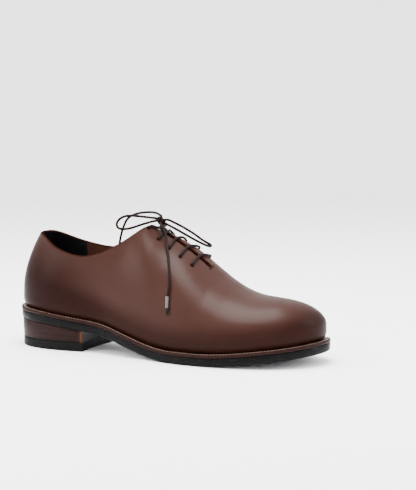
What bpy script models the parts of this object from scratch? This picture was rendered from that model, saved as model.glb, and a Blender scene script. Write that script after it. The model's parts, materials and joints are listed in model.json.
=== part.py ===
"""Whole cut oxford, right shoe, as an assembly of named solids.

Metres, +Z up, +X towards the toe, +Y towards the inner (medial) side of the foot.
The origin is the middle of the heel's rest face, on the floor.
"""
import math

import bmesh
import bpy
import numpy as np
from mathutils import Vector

# driving sizes of the sole
SOLE_LENGTH = 0.302
BALL_WIDTH = 0.1036
HEEL_CENTRE = 0.040
OUTSOLE_THICKNESS = 0.0072
WELT_THICKNESS = 0.0030
WELT_SHOWS_AT_HEEL = 0.0046
WELT_SHOWS_AT_TOE = 0.0058
WELT_STRIP = 0.015
SEAT_GAP = 0.0003
HEEL_HEIGHT = 0.0264
TOE_SPRING = 0.0108
OUTSOLE_INSET = 0.0004

# driving sizes of the heel
HEEL_BREAST = 0.0795
HEEL_INSET = 0.0012
HEEL_TAPER = 0.0006
TOP_LIFT_THICKNESS = 0.0082
BREAST_HOLLOW = 0.0025

# driving sizes of the upper
UPPER_HEIGHT = 0.0693
WALL = 0.0024
THROAT_GAP = 0.0058
THROAT_END = 0.645
THROAT_END_ROUND = 0.004
EYELET_BORE = 0.0036
EYELET_PAIRS = 5
EYELET_LAST = 0.0130
EYELET_PITCH = 0.0134
EYELET_SETBACK = 0.0136

# driving sizes of the pieces inside
INSOLE_THICKNESS = 0.0035
INSOLE_MARGIN = 0.0012
TONGUE_THICKNESS = 0.0020
TONGUE_GAP = 0.0006
TONGUE_RISE = 0.006
TONGUE_SPAN = 0.36

# driving sizes of the lace
LACE = 0.0023
LACE_CLEARANCE = 0.0004
AGLET = 0.0029
KNOT_CENTRE = (0.1030, 0.0035, 0.1200)
KNOT_RADII = (0.0085, 0.0042, 0.0036)
KNOT_TURN = 47.0

# the lace's free lengths, as places chosen along each
LACE_ROUTES = {
    "lace_loop_back": (
        (0.0966, 0.0010, 0.1224), (0.0851, 0.0005, 0.1232), (0.0762, -0.0030, 0.1240), (0.0700, -0.0070, 0.1232),
        (0.0668, -0.0105, 0.1204), (0.0660, -0.0130, 0.1168), (0.0679, -0.0142, 0.1138), (0.0730, -0.0130, 0.1125),
        (0.0789, -0.0100, 0.1134), (0.0867, -0.0066, 0.1162), (0.0969, -0.0037, 0.1194),
    ),
    "lace_loop_front": (
        (0.1098, 0.0102, 0.1193), (0.1165, 0.0152, 0.1150), (0.1220, 0.0192, 0.1110), (0.1290, 0.0240, 0.1053),
        (0.1360, 0.0285, 0.0995), (0.1408, 0.0292, 0.0967), (0.1412, 0.0258, 0.0962), (0.1370, 0.0225, 0.0980),
        (0.1300, 0.0188, 0.1020), (0.1220, 0.0150, 0.1070), (0.1155, 0.0108, 0.1115), (0.1079, 0.0056, 0.1166),
    ),
    "lace_end_lateral": (
        (0.1060, -0.0022, 0.1166), (0.1085, -0.0040, 0.1140), (0.1125, -0.0070, 0.1090), (0.1176, -0.0140, 0.0998),
        (0.1229, -0.0219, 0.0904), (0.1270, -0.0288, 0.0816), (0.1302, -0.0345, 0.0728), (0.1318, -0.0389, 0.0643),
        (0.1318, -0.0414, 0.0590),
    ),
    "lace_end_medial": (
        (0.1012, 0.0050, 0.1247), (0.0950, 0.0090, 0.1262), (0.0835, 0.0130, 0.1262), (0.0729, 0.0170, 0.1246),
        (0.0643, 0.0205, 0.1221), (0.0570, 0.0240, 0.1181), (0.0521, 0.0272, 0.1128), (0.0486, 0.0298, 0.1076),
        (0.0456, 0.0316, 0.1010), (0.0434, 0.0326, 0.0930), (0.0424, 0.0328, 0.0850), (0.0420, 0.0328, 0.0770),
    ),
}
AGLETS = {
    "aglet_lateral": ((0.1318, -0.0420, 0.0584), (0.1331, -0.0458, 0.0426)),
    "aglet_medial": ((0.0420, 0.0328, 0.0766), (0.0420, 0.0328, 0.0604)),
}

# how finely the lofts are cut
SIDE_STEPS = 52
RISE_STEPS = 12
PLATE_STEPS = 44
RING_STEPS = 92

# sole edge seen from above: along is a share of SOLE_LENGTH, across a share of BALL_WIDTH
OUTLINE_COLUMNS = ("along", "across")
OUTLINE = (
    (0.000, 0.000),
    (0.035, -0.225),
    (0.120, -0.338),
    (0.220, -0.345),
    (0.310, -0.325),
    (0.400, -0.372),
    (0.500, -0.424),
    (0.610, -0.479),
    (0.710, -0.478),
    (0.800, -0.442),
    (0.880, -0.366),
    (0.945, -0.238),
    (0.986, -0.062),
    (1.000, 0.110),
    (0.984, 0.275),
    (0.940, 0.374),
    (0.880, 0.440),
    (0.800, 0.496),
    (0.715, 0.519),
    (0.630, 0.482),
    (0.520, 0.372),
    (0.420, 0.282),
    (0.330, 0.262),
    (0.230, 0.302),
    (0.120, 0.326),
    (0.035, 0.220),
)

# underside of the sole: height is a share of HEEL_HEIGHT behind the ball, of TOE_SPRING before it
UNDERSIDE_COLUMNS = ("along", "height")
UNDERSIDE_BACK = (
    (0.00, 1.000),
    (0.12, 0.915),
    (0.25, 0.740),
    (0.33, 0.610),
    (0.42, 0.345),
    (0.50, 0.105),
    (0.56, 0.008),
    (0.585, 0.0),
)
UNDERSIDE_FRONT = (
    (0.680, 0.0),
    (0.720, 0.055),
    (0.820, 0.345),
    (0.920, 0.700),
    (1.000, 1.000),
)

# the upper's sections, from the welt up to the topline, the throat or the ridge of the vamp
# turn is the share of the way round the side from the back seam to the toe
# top_x and top_y are the upper end, shares of SOLE_LENGTH and BALL_WIDTH; rise is a share of UPPER_HEIGHT
# lean is the upper end's angle from upright in degrees; bulge and bulge_rise are shares of BALL_WIDTH
# side and crown say how full the curve is above the bulge and below the upper end
SECTION_COLUMNS = ("turn", "top_x", "top_y", "rise", "lean", "bulge", "bulge_rise", "side", "crown")
LATERAL_SECTIONS = (
    (0.000, 0.0640, 0.000, 1.000, 31.0, 0.023, 0.150, 0.34, 0.30),
    (0.050, 0.0730, -0.085, 0.996, 29.0, 0.023, 0.150, 0.34, 0.30),
    (0.100, 0.0960, -0.152, 0.972, 24.0, 0.024, 0.150, 0.34, 0.30),
    (0.160, 0.1450, -0.240, 0.887, 14.0, 0.028, 0.155, 0.34, 0.30),
    (0.220, 0.1990, -0.282, 0.832, 8.0, 0.026, 0.160, 0.34, 0.30),
    (0.270, 0.2520, -0.298, 0.822, 7.0, 0.024, 0.160, 0.34, 0.30),
    (0.320, 0.3050, -0.293, 0.880, 8.0, 0.022, 0.160, 0.36, 0.30),
    (0.365, 0.3510, -0.278, 1.000, 12.0, 0.022, 0.160, 0.38, 0.32),
    (0.410, 0.4000, -0.240, 1.178, 19.0, 0.022, 0.160, 0.40, 0.34),
    (0.450, 0.4400, -0.180, 1.360, 32.0, 0.022, 0.155, 0.42, 0.36),
    (0.475, 0.4600, -0.114, 1.432, 46.0, 0.022, 0.150, 0.44, 0.38),
    (0.500, 0.4740, -0.050, 1.412, 60.0, 0.023, 0.145, 0.46, 0.42),
    (0.535, 0.5020, 0.020, 1.360, 70.0, 0.024, 0.140, 0.48, 0.47),
    (0.580, 0.5600, 0.029, 1.248, 72.0, 0.025, 0.130, 0.48, 0.50),
    (0.620, 0.6100, 0.029, 1.105, 73.0, 0.025, 0.122, 0.48, 0.50),
    (0.650, 0.6450, 0.029, 0.988, 75.0, 0.025, 0.118, 0.48, 0.50),
    (0.690, 0.6930, 0.034, 0.847, 79.0, 0.025, 0.115, 0.48, 0.50),
    (0.730, 0.7400, 0.040, 0.730, 83.0, 0.024, 0.115, 0.49, 0.51),
    (0.770, 0.7870, 0.048, 0.646, 86.0, 0.022, 0.115, 0.50, 0.53),
    (0.815, 0.8310, 0.056, 0.602, 88.0, 0.021, 0.115, 0.52, 0.54),
    (0.850, 0.8420, 0.058, 0.592, 89.0, 0.021, 0.116, 0.53, 0.55),
    (1.000, 0.8420, 0.058, 0.592, 88.0, 0.020, 0.118, 0.56, 0.55),
)
MEDIAL_SECTIONS = (
    (0.000, 0.0640, 0.000, 1.000, 31.0, 0.023, 0.150, 0.34, 0.30),
    (0.050, 0.0720, 0.085, 1.004, 29.0, 0.023, 0.150, 0.34, 0.30),
    (0.100, 0.0920, 0.152, 0.985, 24.0, 0.024, 0.150, 0.34, 0.30),
    (0.160, 0.1390, 0.236, 0.912, 14.0, 0.027, 0.155, 0.34, 0.30),
    (0.220, 0.1930, 0.277, 0.872, 8.0, 0.025, 0.160, 0.34, 0.30),
    (0.270, 0.2480, 0.290, 0.866, 8.0, 0.022, 0.160, 0.34, 0.30),
    (0.320, 0.3010, 0.285, 0.915, 9.0, 0.020, 0.160, 0.36, 0.30),
    (0.365, 0.3480, 0.270, 1.028, 12.0, 0.018, 0.160, 0.38, 0.32),
    (0.410, 0.3940, 0.245, 1.190, 18.0, 0.018, 0.160, 0.42, 0.34),
    (0.450, 0.4340, 0.222, 1.312, 32.0, 0.018, 0.160, 0.46, 0.36),
    (0.475, 0.4570, 0.172, 1.388, 52.0, 0.019, 0.155, 0.48, 0.38),
    (0.500, 0.4740, 0.112, 1.400, 78.0, 0.020, 0.150, 0.50, 0.42),
    (0.535, 0.5020, 0.040, 1.362, 101.0, 0.021, 0.140, 0.52, 0.44),
    (0.580, 0.5600, 0.029, 1.248, 108.0, 0.022, 0.130, 0.54, 0.46),
    (0.620, 0.6100, 0.029, 1.105, 107.0, 0.023, 0.122, 0.54, 0.46),
    (0.650, 0.6450, 0.029, 0.988, 105.0, 0.023, 0.118, 0.53, 0.48),
    (0.690, 0.6930, 0.034, 0.847, 101.0, 0.023, 0.115, 0.52, 0.49),
    (0.730, 0.7400, 0.040, 0.730, 97.0, 0.023, 0.115, 0.50, 0.50),
    (0.770, 0.7870, 0.048, 0.646, 94.0, 0.022, 0.115, 0.50, 0.52),
    (0.815, 0.8310, 0.056, 0.602, 92.0, 0.021, 0.115, 0.51, 0.54),
    (0.850, 0.8420, 0.058, 0.592, 91.0, 0.021, 0.116, 0.52, 0.54),
    (1.000, 0.8420, 0.058, 0.592, 88.0, 0.020, 0.118, 0.56, 0.55),
)
THROAT_TURN = 0.650
THROAT_TOP_TURN = 0.49
THROAT_STRAIGHT_TURN = 0.575
THROAT_CORNER = 0.045
POLE_TURN = 0.850
FEATHER_LEAN = 34.0


class Spline:
    """A smooth cubic through rows of values, with even curvature at each knot."""

    def __init__(self, knots, rows, closed=False):
        self.knots = np.asarray(knots, float)
        self.rows = np.asarray(rows, float)
        count = len(self.knots)
        step = np.diff(self.knots)
        rise = np.diff(self.rows, axis=0) / step[:, None]
        system = np.zeros((count, count))
        target = np.zeros_like(self.rows)
        for i in range(1, count - 1):
            system[i, i - 1:i + 2] = step[i], 2 * (step[i - 1] + step[i]), step[i - 1]
            target[i] = 3 * (step[i] * rise[i - 1] + step[i - 1] * rise[i])
        if closed:
            system[0, -2] = step[0]
            system[0, 0:2] += 2 * (step[-1] + step[0]), step[-1]
            target[0] = 3 * (step[0] * rise[-1] + step[-1] * rise[0])
            system[-1, 0], system[-1, -1] = 1, -1
        else:
            system[0, 0:2] = 2, 1
            target[0] = 3 * rise[0]
            system[-1, -2:] = 1, 2
            target[-1] = 3 * rise[-1]
        self.slopes = np.linalg.solve(system, target)

    def __call__(self, place):
        place = np.clip(np.asarray(place, float), self.knots[0], self.knots[-1])
        index = np.clip(np.searchsorted(self.knots, place, side="right") - 1, 0, len(self.knots) - 2)
        span = self.knots[index + 1] - self.knots[index]
        t = ((place - self.knots[index]) / span)[..., None]
        span = span[..., None]
        start, end = self.rows[index], self.rows[index + 1]
        leave, arrive = self.slopes[index] * span, self.slopes[index + 1] * span
        return ((2 * t ** 3 - 3 * t ** 2 + 1) * start + (t ** 3 - 2 * t ** 2 + t) * leave
                + (3 * t ** 2 - 2 * t ** 3) * end + (t ** 3 - t ** 2) * arrive)


def through(rows, closed=False):
    """A spline through points, spaced by the distance between them, over 0 to 1."""
    points = np.asarray(rows, float)
    if closed:
        points = np.vstack([points, points[:1]])
    walk = np.concatenate([[0], np.cumsum(np.linalg.norm(np.diff(points, axis=0), axis=1))])
    return Spline(walk / walk[-1], points, closed)


def underside(x):
    """Height of the sole's underside, x measured from the origin."""
    along = (np.asarray(x, float) + HEEL_CENTRE) / SOLE_LENGTH
    back = np.array(UNDERSIDE_BACK)
    front = np.array(UNDERSIDE_FRONT)
    behind = Spline(back[:, 0], back[:, 1:])(along)[..., 0] * HEEL_HEIGHT
    before = Spline(front[:, 0], front[:, 1:])(along)[..., 0] * TOE_SPRING
    height = np.where(along < back[-1, 0], behind, np.where(along > front[0, 0], before, 0.0))
    return np.maximum(height, 0.0)


def welt_top(x):
    return underside(x) + OUTSOLE_THICKNESS + SEAT_GAP + WELT_THICKNESS


def seat(x):
    """Height on which the upper and the insole stand."""
    return welt_top(x) + SEAT_GAP


def sole_outline(count=720):
    """The sole's edge as a closed ring of x, y points, from the back by the lateral side."""
    rows = np.array(OUTLINE) * (SOLE_LENGTH, BALL_WIDTH) - (HEEL_CENTRE, 0.0)
    return through(rows, closed=True)(np.linspace(0, 1, count, endpoint=False))


def inset(ring, distance):
    """A closed ring moved inwards by a distance, which may differ from point to point."""
    ahead = np.roll(ring, -1, axis=0) - np.roll(ring, 1, axis=0)
    ahead /= np.linalg.norm(ahead, axis=1)[:, None]
    inward = np.stack([-ahead[:, 1], ahead[:, 0]], axis=1)
    return ring + inward * np.reshape(distance, (-1, 1))


def feather_ring():
    """The line where the upper meets the welt."""
    ring = sole_outline()
    along = (ring[:, 0] + HEEL_CENTRE) / SOLE_LENGTH
    blend = np.clip((along - 0.25) / 0.35, 0, 1)
    shows = WELT_SHOWS_AT_HEEL + (WELT_SHOWS_AT_TOE - WELT_SHOWS_AT_HEEL) * blend * blend * (3 - 2 * blend)
    return inset(ring, shows)


def sides(ring):
    """The lateral and medial halves of a ring, each from its back to its toe."""
    back, toe = int(np.argmin(ring[:, 0])), int(np.argmax(ring[:, 0]))
    ring = np.roll(ring, -back, axis=0)
    toe = (toe - back) % len(ring)
    lateral = ring[:toe + 1]
    medial = np.vstack([ring[toe:], ring[:1]])[::-1]
    return lateral, medial


def half_width(half, x):
    return np.interp(x, half[:, 0], half[:, 1])


def upper_patch(side, turns, rises):
    """Points of the upper's outer face, turns by rises; side 0 is lateral, 1 medial."""
    half = sides(feather_ring())[side]
    walk = np.concatenate([[0], np.cumsum(np.linalg.norm(np.diff(half, axis=0), axis=1))])
    foot = np.stack([np.interp(turns, walk / walk[-1], half[:, k]) for k in (0, 1)], axis=1)
    table = np.array((LATERAL_SECTIONS, MEDIAL_SECTIONS)[side])
    row = dict(zip(SECTION_COLUMNS[1:], Spline(table[:, 0], table[:, 1:])(turns).T))
    top = np.stack([row["top_x"] * SOLE_LENGTH - HEEL_CENTRE, row["top_y"] * BALL_WIDTH], axis=1)
    top[turns >= POLE_TURN] = table[-1, 1] * SOLE_LENGTH - HEEL_CENTRE, table[-1, 2] * BALL_WIDTH
    rise = np.where(turns >= POLE_TURN, table[-1, 3], row["rise"])
    shared = (turns >= THROAT_TURN) & (turns < POLE_TURN)
    ridge = ridge_of(turns)
    top[shared] = ridge[shared, :2] * (SOLE_LENGTH, BALL_WIDTH) - (HEEL_CENTRE, 0.0)
    rise = np.where(shared, ridge[:, 2], rise)
    outward = outward_of(half, walk / walk[-1], turns)
    inward = top - foot
    reach = np.linalg.norm(inward, axis=1)
    inward /= np.maximum(reach, 1e-9)[:, None]
    mix = np.clip((row["lean"] - 40) / 35, 0, 1)[:, None]
    heading = -outward * (1 - mix) + inward * mix
    heading /= np.linalg.norm(heading, axis=1)[:, None]
    ridge_slope = slope_of_ridge(top[:, 0]) * np.clip((row["lean"] - 60) / 15, 0, 1)
    lean = np.radians(row["lean"])
    lean = np.where(turns >= POLE_TURN, math.pi / 2, lean)
    tilt = np.where(turns >= POLE_TURN, 0.0, 1.0)
    end = np.column_stack([heading * np.sin(lean)[:, None], np.cos(lean) * tilt])
    end[:, 2] += ridge_slope * end[:, 0]
    end /= np.linalg.norm(end, axis=1)[:, None]
    base = np.column_stack([foot, seat(foot[:, 0])])
    out3 = np.column_stack([outward, np.zeros(len(turns))])
    upright = np.array([0.0, 0.0, 1.0])
    wide = base + out3 * (row["bulge"] * BALL_WIDTH)[:, None]
    wide = wide + upright * (row["bulge_rise"] * BALL_WIDTH)[:, None]
    peak = np.column_stack([top, seat(top[:, 0]) + rise * UPPER_HEIGHT])
    low = np.array([math.sin(math.radians(FEATHER_LEAN)), math.cos(math.radians(FEATHER_LEAN))])
    start = out3 * low[0] + upright * low[1]
    climb = (peak - wide)[:, 2]
    spread = np.linalg.norm((peak - wide)[:, :2], axis=1)
    crown = row["crown"] * (climb * np.abs(np.cos(lean)) + spread * np.sin(lean))
    below = (row["bulge_rise"] * BALL_WIDTH)[:, None]
    lower = (base, base + start * below * 0.40, wide - upright * below * 0.45, wide)
    upper = (wide, wide + upright * (row["side"] * climb)[:, None], peak - end * crown[:, None], peak)
    return blend_curves(lower, upper, rises, throat_share(turns, top[:, 0], crown))


LOW_SHARE = 0.2


def throat_share(turns, x, crown):
    """The share of the upper arc that each section loses to half of the throat's gap."""
    end = THROAT_END * SOLE_LENGTH - HEEL_CENTRE
    half = THROAT_GAP / 2 * np.sqrt(np.clip((end - x) / THROAT_END_ROUND, 0, 1))
    open_up = np.clip((turns - THROAT_TOP_TURN) / THROAT_CORNER, 0, 1)
    half = half * open_up * open_up * (3 - 2 * open_up)
    return np.where(turns < THROAT_TURN, half / (3 * crown), 0.0)


def blend_curves(lower, upper, rises, lost):
    """Two cubic arcs end to end: the one below the bulge, then the one above it."""
    points = []
    for rise in rises:
        if rise < LOW_SHARE:
            arc, t = lower, np.full(len(lost), rise / LOW_SHARE)
        else:
            arc, t = upper, (rise - LOW_SHARE) / (1 - LOW_SHARE) * (1 - lost)
        t = t[:, None]
        weights = (1 - t) ** 3, 3 * t * (1 - t) ** 2, 3 * t * t * (1 - t), t ** 3
        points.append(sum(w * p for w, p in zip(weights, arc)))
    return np.stack(points, axis=1)


def outward_of(half, share, turns):
    """The outward direction of a half outline at each turn."""
    near = 0.004
    ahead = np.stack([np.interp(np.minimum(turns + near, 1), share, half[:, k])
                      - np.interp(np.maximum(turns - near, 0), share, half[:, k]) for k in (0, 1)], axis=1)
    hand = 1 if half[len(half) // 2, 1] < 0 else -1
    outward = np.stack([ahead[:, 1] * hand, -ahead[:, 0] * hand], axis=1)
    outward[turns < near] = -1.0, 0.0
    outward[turns > 1 - near] = 1.0, 0.0
    return outward / np.linalg.norm(outward, axis=1)[:, None]


def ridge_of(turns):
    """Ridge of the upper before the throat's end, the same for both sides, at each turn."""
    table = np.array(LATERAL_SECTIONS)
    rows = table[(table[:, 0] >= THROAT_TURN - 0.08) & (table[:, 0] <= POLE_TURN)]
    return Spline(rows[:, 0], rows[:, 1:4])(turns)


def slope_of_ridge(x):
    """How fast the ridge rises along x, at each x."""
    table = np.array(LATERAL_SECTIONS)
    rows = table[(table[:, 0] >= 0.5) & (table[:, 0] <= POLE_TURN)]
    place = rows[:, 1] * SOLE_LENGTH - HEEL_CENTRE
    line = Spline(place, (seat(place) + rows[:, 3] * UPPER_HEIGHT)[:, None])
    near = 0.001
    return (line(x + near) - line(x - near))[..., 0] / (2 * near)


def join_patches(lateral, medial):
    """Both halves as one list of points and faces, facing outwards."""
    points, faces = [], []
    for patch, flip in ((lateral, False), (medial, True)):
        first = len(points)
        rows, columns = patch.shape[:2]
        points.extend(patch.reshape(-1, 3))
        for i in range(rows - 1):
            for j in range(columns - 1):
                a = first + i * columns + j
                face = (a, a + columns, a + columns + 1, a + 1)
                faces.append(face[::-1] if flip else face)
    return points, faces


def new_object(name, points, faces, material, collection, weld=1e-6):
    """A mesh object from points and faces, welded, in the part's collection."""
    mesh = bpy.data.meshes.new(name)
    shape = bmesh.new()
    corners = [shape.verts.new(p) for p in points]
    for face in faces:
        shape.faces.new([corners[k] for k in face])
    bmesh.ops.remove_doubles(shape, verts=shape.verts, dist=weld)
    bmesh.ops.dissolve_degenerate(shape, edges=shape.edges, dist=weld)
    shape.to_mesh(mesh)
    shape.free()
    mesh.shade_smooth()
    thing = bpy.data.objects.new(name, mesh)
    collection.objects.link(thing)
    if material:
        mesh.materials.append(material)
    return thing


def material(name, colour, roughness, metallic=0.0):
    made = bpy.data.materials.new(name)
    made.use_nodes = True
    shader = made.node_tree.nodes["Principled BSDF"]
    shader.inputs["Base Color"].default_value = (*colour, 1.0)
    shader.inputs["Roughness"].default_value = roughness
    shader.inputs["Metallic"].default_value = metallic
    return made


def stations(first, last, count=PLATE_STEPS):
    """Places along the shoe, closer together near both ends."""
    angle = np.linspace(0, math.pi, count + 1)
    return first + (last - first) * (1 - np.cos(angle)) / 2


def plate(name, low_ring, high_ring, low, high, look, collection, last=None, hollow=0.0):
    """A closed plate between two outlines, bending along the shoe with the heights low and high."""
    rows = []
    for ring, height in ((low_ring, low), (high_ring, high)):
        lateral, medial = sides(ring)
        start, stop = lateral[0, 0], lateral[-1, 0]
        end = stop if last is None else last
        along = stations(start, end) if last is None else end - (end - start) * np.cos(
            np.linspace(0, math.pi / 2, PLATE_STEPS // 2 + 1))
        left, right = half_width(lateral, along), half_width(medial, along)
        if last is None:
            right[-1] = left[-1]
        right[0] = left[0]
        place = np.linspace(0, 1, 7)
        across = left[:, None] * (1 - place) + right[:, None] * place
        depth = np.repeat(along[:, None], len(place), axis=1)
        if hollow:
            share = (along - start) / (end - start)
            depth = depth - hollow * (share[:, None] ** 6) * (1 - (2 * place - 1) ** 2)
        rows.append(np.stack([depth, across, height(depth)], axis=2))
    below, above = rows
    count, wide = below.shape[:2]
    points = np.vstack([below.reshape(-1, 3), above.reshape(-1, 3)])
    shift = count * wide
    faces = []
    for i in range(count - 1):
        for j in range(wide - 1):
            a = i * wide + j
            faces.append((a, a + 1, a + wide + 1, a + wide))
            faces.append((shift + a, shift + a + wide, shift + a + wide + 1, shift + a + 1))
        a, b = i * wide, i * wide + wide - 1
        faces.append((a, a + wide, shift + a + wide, shift + a))
        faces.append((b + wide, b, shift + b, shift + b + wide))
    if last is not None:
        for j in range(wide - 1):
            a = (count - 1) * wide + j
            faces.append((a, a + 1, shift + a + 1, shift + a))
    return new_object(name, points, faces, look, collection)


def ring_strip(name, outer, inner, low, high, look, collection):
    """A closed strip that runs all round between two rings."""
    count = len(outer)
    rails = [np.column_stack([ring, height(ring[:, 0])])
             for ring, height in ((outer, low), (outer, high), (inner, high), (inner, low))]
    points = np.vstack(rails)
    faces = []
    for i in range(count):
        j = (i + 1) % count
        for k in range(4):
            a, b = k * count, ((k + 1) % 4) * count
            faces.append((a + i, b + i, b + j, a + j)[::-1])
    return new_object(name, points, faces, look, collection)


def every(ring, count):
    return ring[np.round(np.arange(count) * len(ring) / count).astype(int)]


def make_welt(look, collection):
    ring = sole_outline()
    return ring_strip("welt", every(ring, RING_STEPS), every(inset(ring, WELT_STRIP), RING_STEPS),
                      lambda x: underside(x) + OUTSOLE_THICKNESS + SEAT_GAP, welt_top, look, collection)


def make_outsole(look, collection):
    ring = inset(sole_outline(), OUTSOLE_INSET)
    return plate("outsole", ring, ring, underside, lambda x: underside(x) + OUTSOLE_THICKNESS, look, collection)


def make_heel(stack_look, lift_look, collection):
    """The stacked heel under the outsole, and the top lift that it walks on."""
    high = inset(sole_outline(), HEEL_INSET)
    low = inset(sole_outline(), HEEL_INSET + HEEL_TAPER)
    breast = HEEL_BREAST - HEEL_CENTRE
    plate("top_lift", low, low, lambda x: 0 * x, lambda x: 0 * x + TOP_LIFT_THICKNESS, lift_look, collection,
          last=breast, hollow=BREAST_HOLLOW)
    plate("heel_stack", low, high, lambda x: 0 * x + TOP_LIFT_THICKNESS + SEAT_GAP,
          lambda x: underside(x) - SEAT_GAP, stack_look, collection, last=breast, hollow=BREAST_HOLLOW)


def make_insole(look, collection):
    ring = inset(feather_ring(), WALL + INSOLE_MARGIN)
    return plate("insole", ring, ring, seat, lambda x: seat(x) + INSOLE_THICKNESS, look, collection)


def turns_of_upper():
    """Turns at which the upper is cut, closer together round the toe, with the throat's end among them."""
    behind = np.linspace(0, THROAT_TURN, int(SIDE_STEPS * 0.62) + 1)
    before = np.linspace(THROAT_TURN, 1, int(SIDE_STEPS * 0.38) + 1)
    tight = THROAT_TURN - np.array([0.0012, 0.004])
    return np.unique(np.round(np.concatenate([behind, tight, before]), 5))


def rises_of_upper():
    low = np.linspace(0, LOW_SHARE, 4)
    high = np.linspace(LOW_SHARE, 1, RISE_STEPS - 3 + 1)
    return np.concatenate([low, high[1:]])


def upper_normals(patch, side):
    """Outward unit normals of a patch."""
    du = np.gradient(patch, axis=0)
    dv = np.gradient(patch, axis=1)
    normal = np.cross(du, dv) * (1 if side == 0 else -1)
    return normal / np.maximum(np.linalg.norm(normal, axis=2), 1e-12)[:, :, None]


def instep_patch(side):
    """A fine grid of the upper's outer face round the throat, with its normals."""
    patch = upper_patch(side, np.linspace(0.40, 0.75, 240), np.linspace(0.5, 1, 160))
    return patch, upper_normals(patch, side)


def place_on_upper(side, x, y):
    """The point and the normal of the upper's outer face over a place in plan."""
    patch, normal = instep_patch(side)
    miss = np.hypot(patch[:, :, 0] - x, patch[:, :, 1] - y)
    i, j = np.unravel_index(np.argmin(miss), miss.shape)
    return patch[i, j], normal[i, j]


def place_by_throat(side, up, reach):
    """The point and the normal at a distance up the throat's line from its end, and a reach from that line."""
    patch, normal = instep_patch(side)
    low, high = (ridge_point(turn) for turn in (THROAT_TURN, THROAT_STRAIGHT_TURN))
    line = (high - low) / np.linalg.norm(high - low)
    offset = patch - low
    along = offset @ line
    away = np.linalg.norm(offset - along[:, :, None] * line, axis=2)
    miss = np.hypot(along - up, away - reach)
    i, j = np.unravel_index(np.argmin(miss), miss.shape)
    return patch[i, j], normal[i, j]


def ridge_point(turn):
    x, y, rise = ridge_of(turn) * (SOLE_LENGTH, BALL_WIDTH, UPPER_HEIGHT) - (HEEL_CENTRE, 0, 0)
    return np.array([x, y, seat(x) + rise])


def throat_middle():
    table = np.array(LATERAL_SECTIONS)
    return table[table[:, 0] == THROAT_TURN][0, 2] * BALL_WIDTH


def eyelets():
    """Pairs of lateral and medial eyelet places, from the top pair down: point and normal of each."""
    reach = THROAT_GAP / 2 + EYELET_SETBACK
    ups = [EYELET_LAST + k * EYELET_PITCH for k in reversed(range(EYELET_PAIRS))]
    return [[place_by_throat(side, up, reach) for side in (0, 1)] for up in ups]


def make_upper(look, collection, cutters):
    turns, rises = turns_of_upper(), rises_of_upper()
    points, faces = join_patches(upper_patch(0, turns, rises), upper_patch(1, turns, rises))
    upper = new_object("upper", points, faces, look, collection, weld=0.00002)
    wall = upper.modifiers.new("wall", "SOLIDIFY")
    wall.thickness = WALL
    wall.offset = -1
    wall.use_even_offset = True
    for k, pair in enumerate(eyelets()):
        for side, (place, normal) in zip(("lateral", "medial"), pair):
            cut_hole(upper, "eyelet_%s_%d" % (side, k + 1), place, normal, cutters)
    return upper


def cut_hole(thing, name, place, normal, cutters):
    """A round hole through the wall, square to its face."""
    bore = bmesh.new()
    bmesh.ops.create_cone(bore, cap_ends=True, segments=10, radius1=EYELET_BORE / 2, radius2=EYELET_BORE / 2,
                          depth=WALL * 3.4)
    mesh = bpy.data.meshes.new(name)
    bore.to_mesh(mesh)
    bore.free()
    cutter = bpy.data.objects.new(name, mesh)
    cutters.objects.link(cutter)
    cutter.location = place - np.asarray(normal) * WALL / 2
    cutter.rotation_mode = "QUATERNION"
    cutter.rotation_quaternion = to_vector(normal).to_track_quat("Z", "Y")
    cutter.hide_render = True
    cutter.display_type = "WIRE"
    hole = thing.modifiers.new(name, "BOOLEAN")
    hole.operation = "DIFFERENCE"
    hole.object = cutter


def to_vector(values):
    return Vector([float(v) for v in values])


def make_tongue(look, collection):
    """A sheet under the throat, following the upper's inner face, and standing a little above it."""
    turns = np.linspace(0.485, 0.675, 15)
    rises = np.linspace(1 - TONGUE_SPAN, 1, 6)
    middle = throat_middle()
    depth = WALL + TONGUE_GAP
    rows = []
    for side in (0, 1):
        patch = upper_patch(side, turns, rises)
        inner = patch - upper_normals(patch, side) * depth
        rows.append(inner if side == 0 else inner[:, ::-1])
    lateral, medial = rows
    crown = (lateral[:, -1:] + medial[:, :1]) / 2
    sheet = np.concatenate([lateral[:, :-1], crown, medial[:, 1:]], axis=1)
    sheet[:, :, 1] = middle + (sheet[:, :, 1] - middle) * 0.93
    sheet = sheet[::-1]
    ahead = sheet[-1] - sheet[-3]
    ahead /= np.linalg.norm(ahead, axis=1)[:, None]
    for step in (0.5, 1.0):
        taper = 1 - 0.22 * step
        row = sheet[-1 if step == 0.5 else -2] + ahead * TONGUE_RISE * step
        row[:, 1] = middle + (row[:, 1] - middle) * taper
        sheet = np.concatenate([sheet, row[None]], axis=0) if step == 0.5 else np.concatenate(
            [sheet[:-1], sheet[-1:], row[None]], axis=0)
    points = sheet.reshape(-1, 3)
    rows_count, columns = sheet.shape[:2]
    faces = []
    for i in range(rows_count - 1):
        for j in range(columns - 1):
            a = i * columns + j
            faces.append((a, a + 1, a + columns + 1, a + columns))
    tongue = new_object("tongue", points, faces, look, collection)
    shape = bmesh.new()
    shape.from_mesh(tongue.data)
    bmesh.ops.recalc_face_normals(shape, faces=shape.faces)
    upward = sum((f.normal.z for f in shape.faces))
    if upward < 0:
        bmesh.ops.reverse_faces(shape, faces=shape.faces)
    shape.to_mesh(tongue.data)
    shape.free()
    wall = tongue.modifiers.new("thickness", "SOLIDIFY")
    wall.thickness = TONGUE_THICKNESS
    wall.offset = -1
    return tongue


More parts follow.
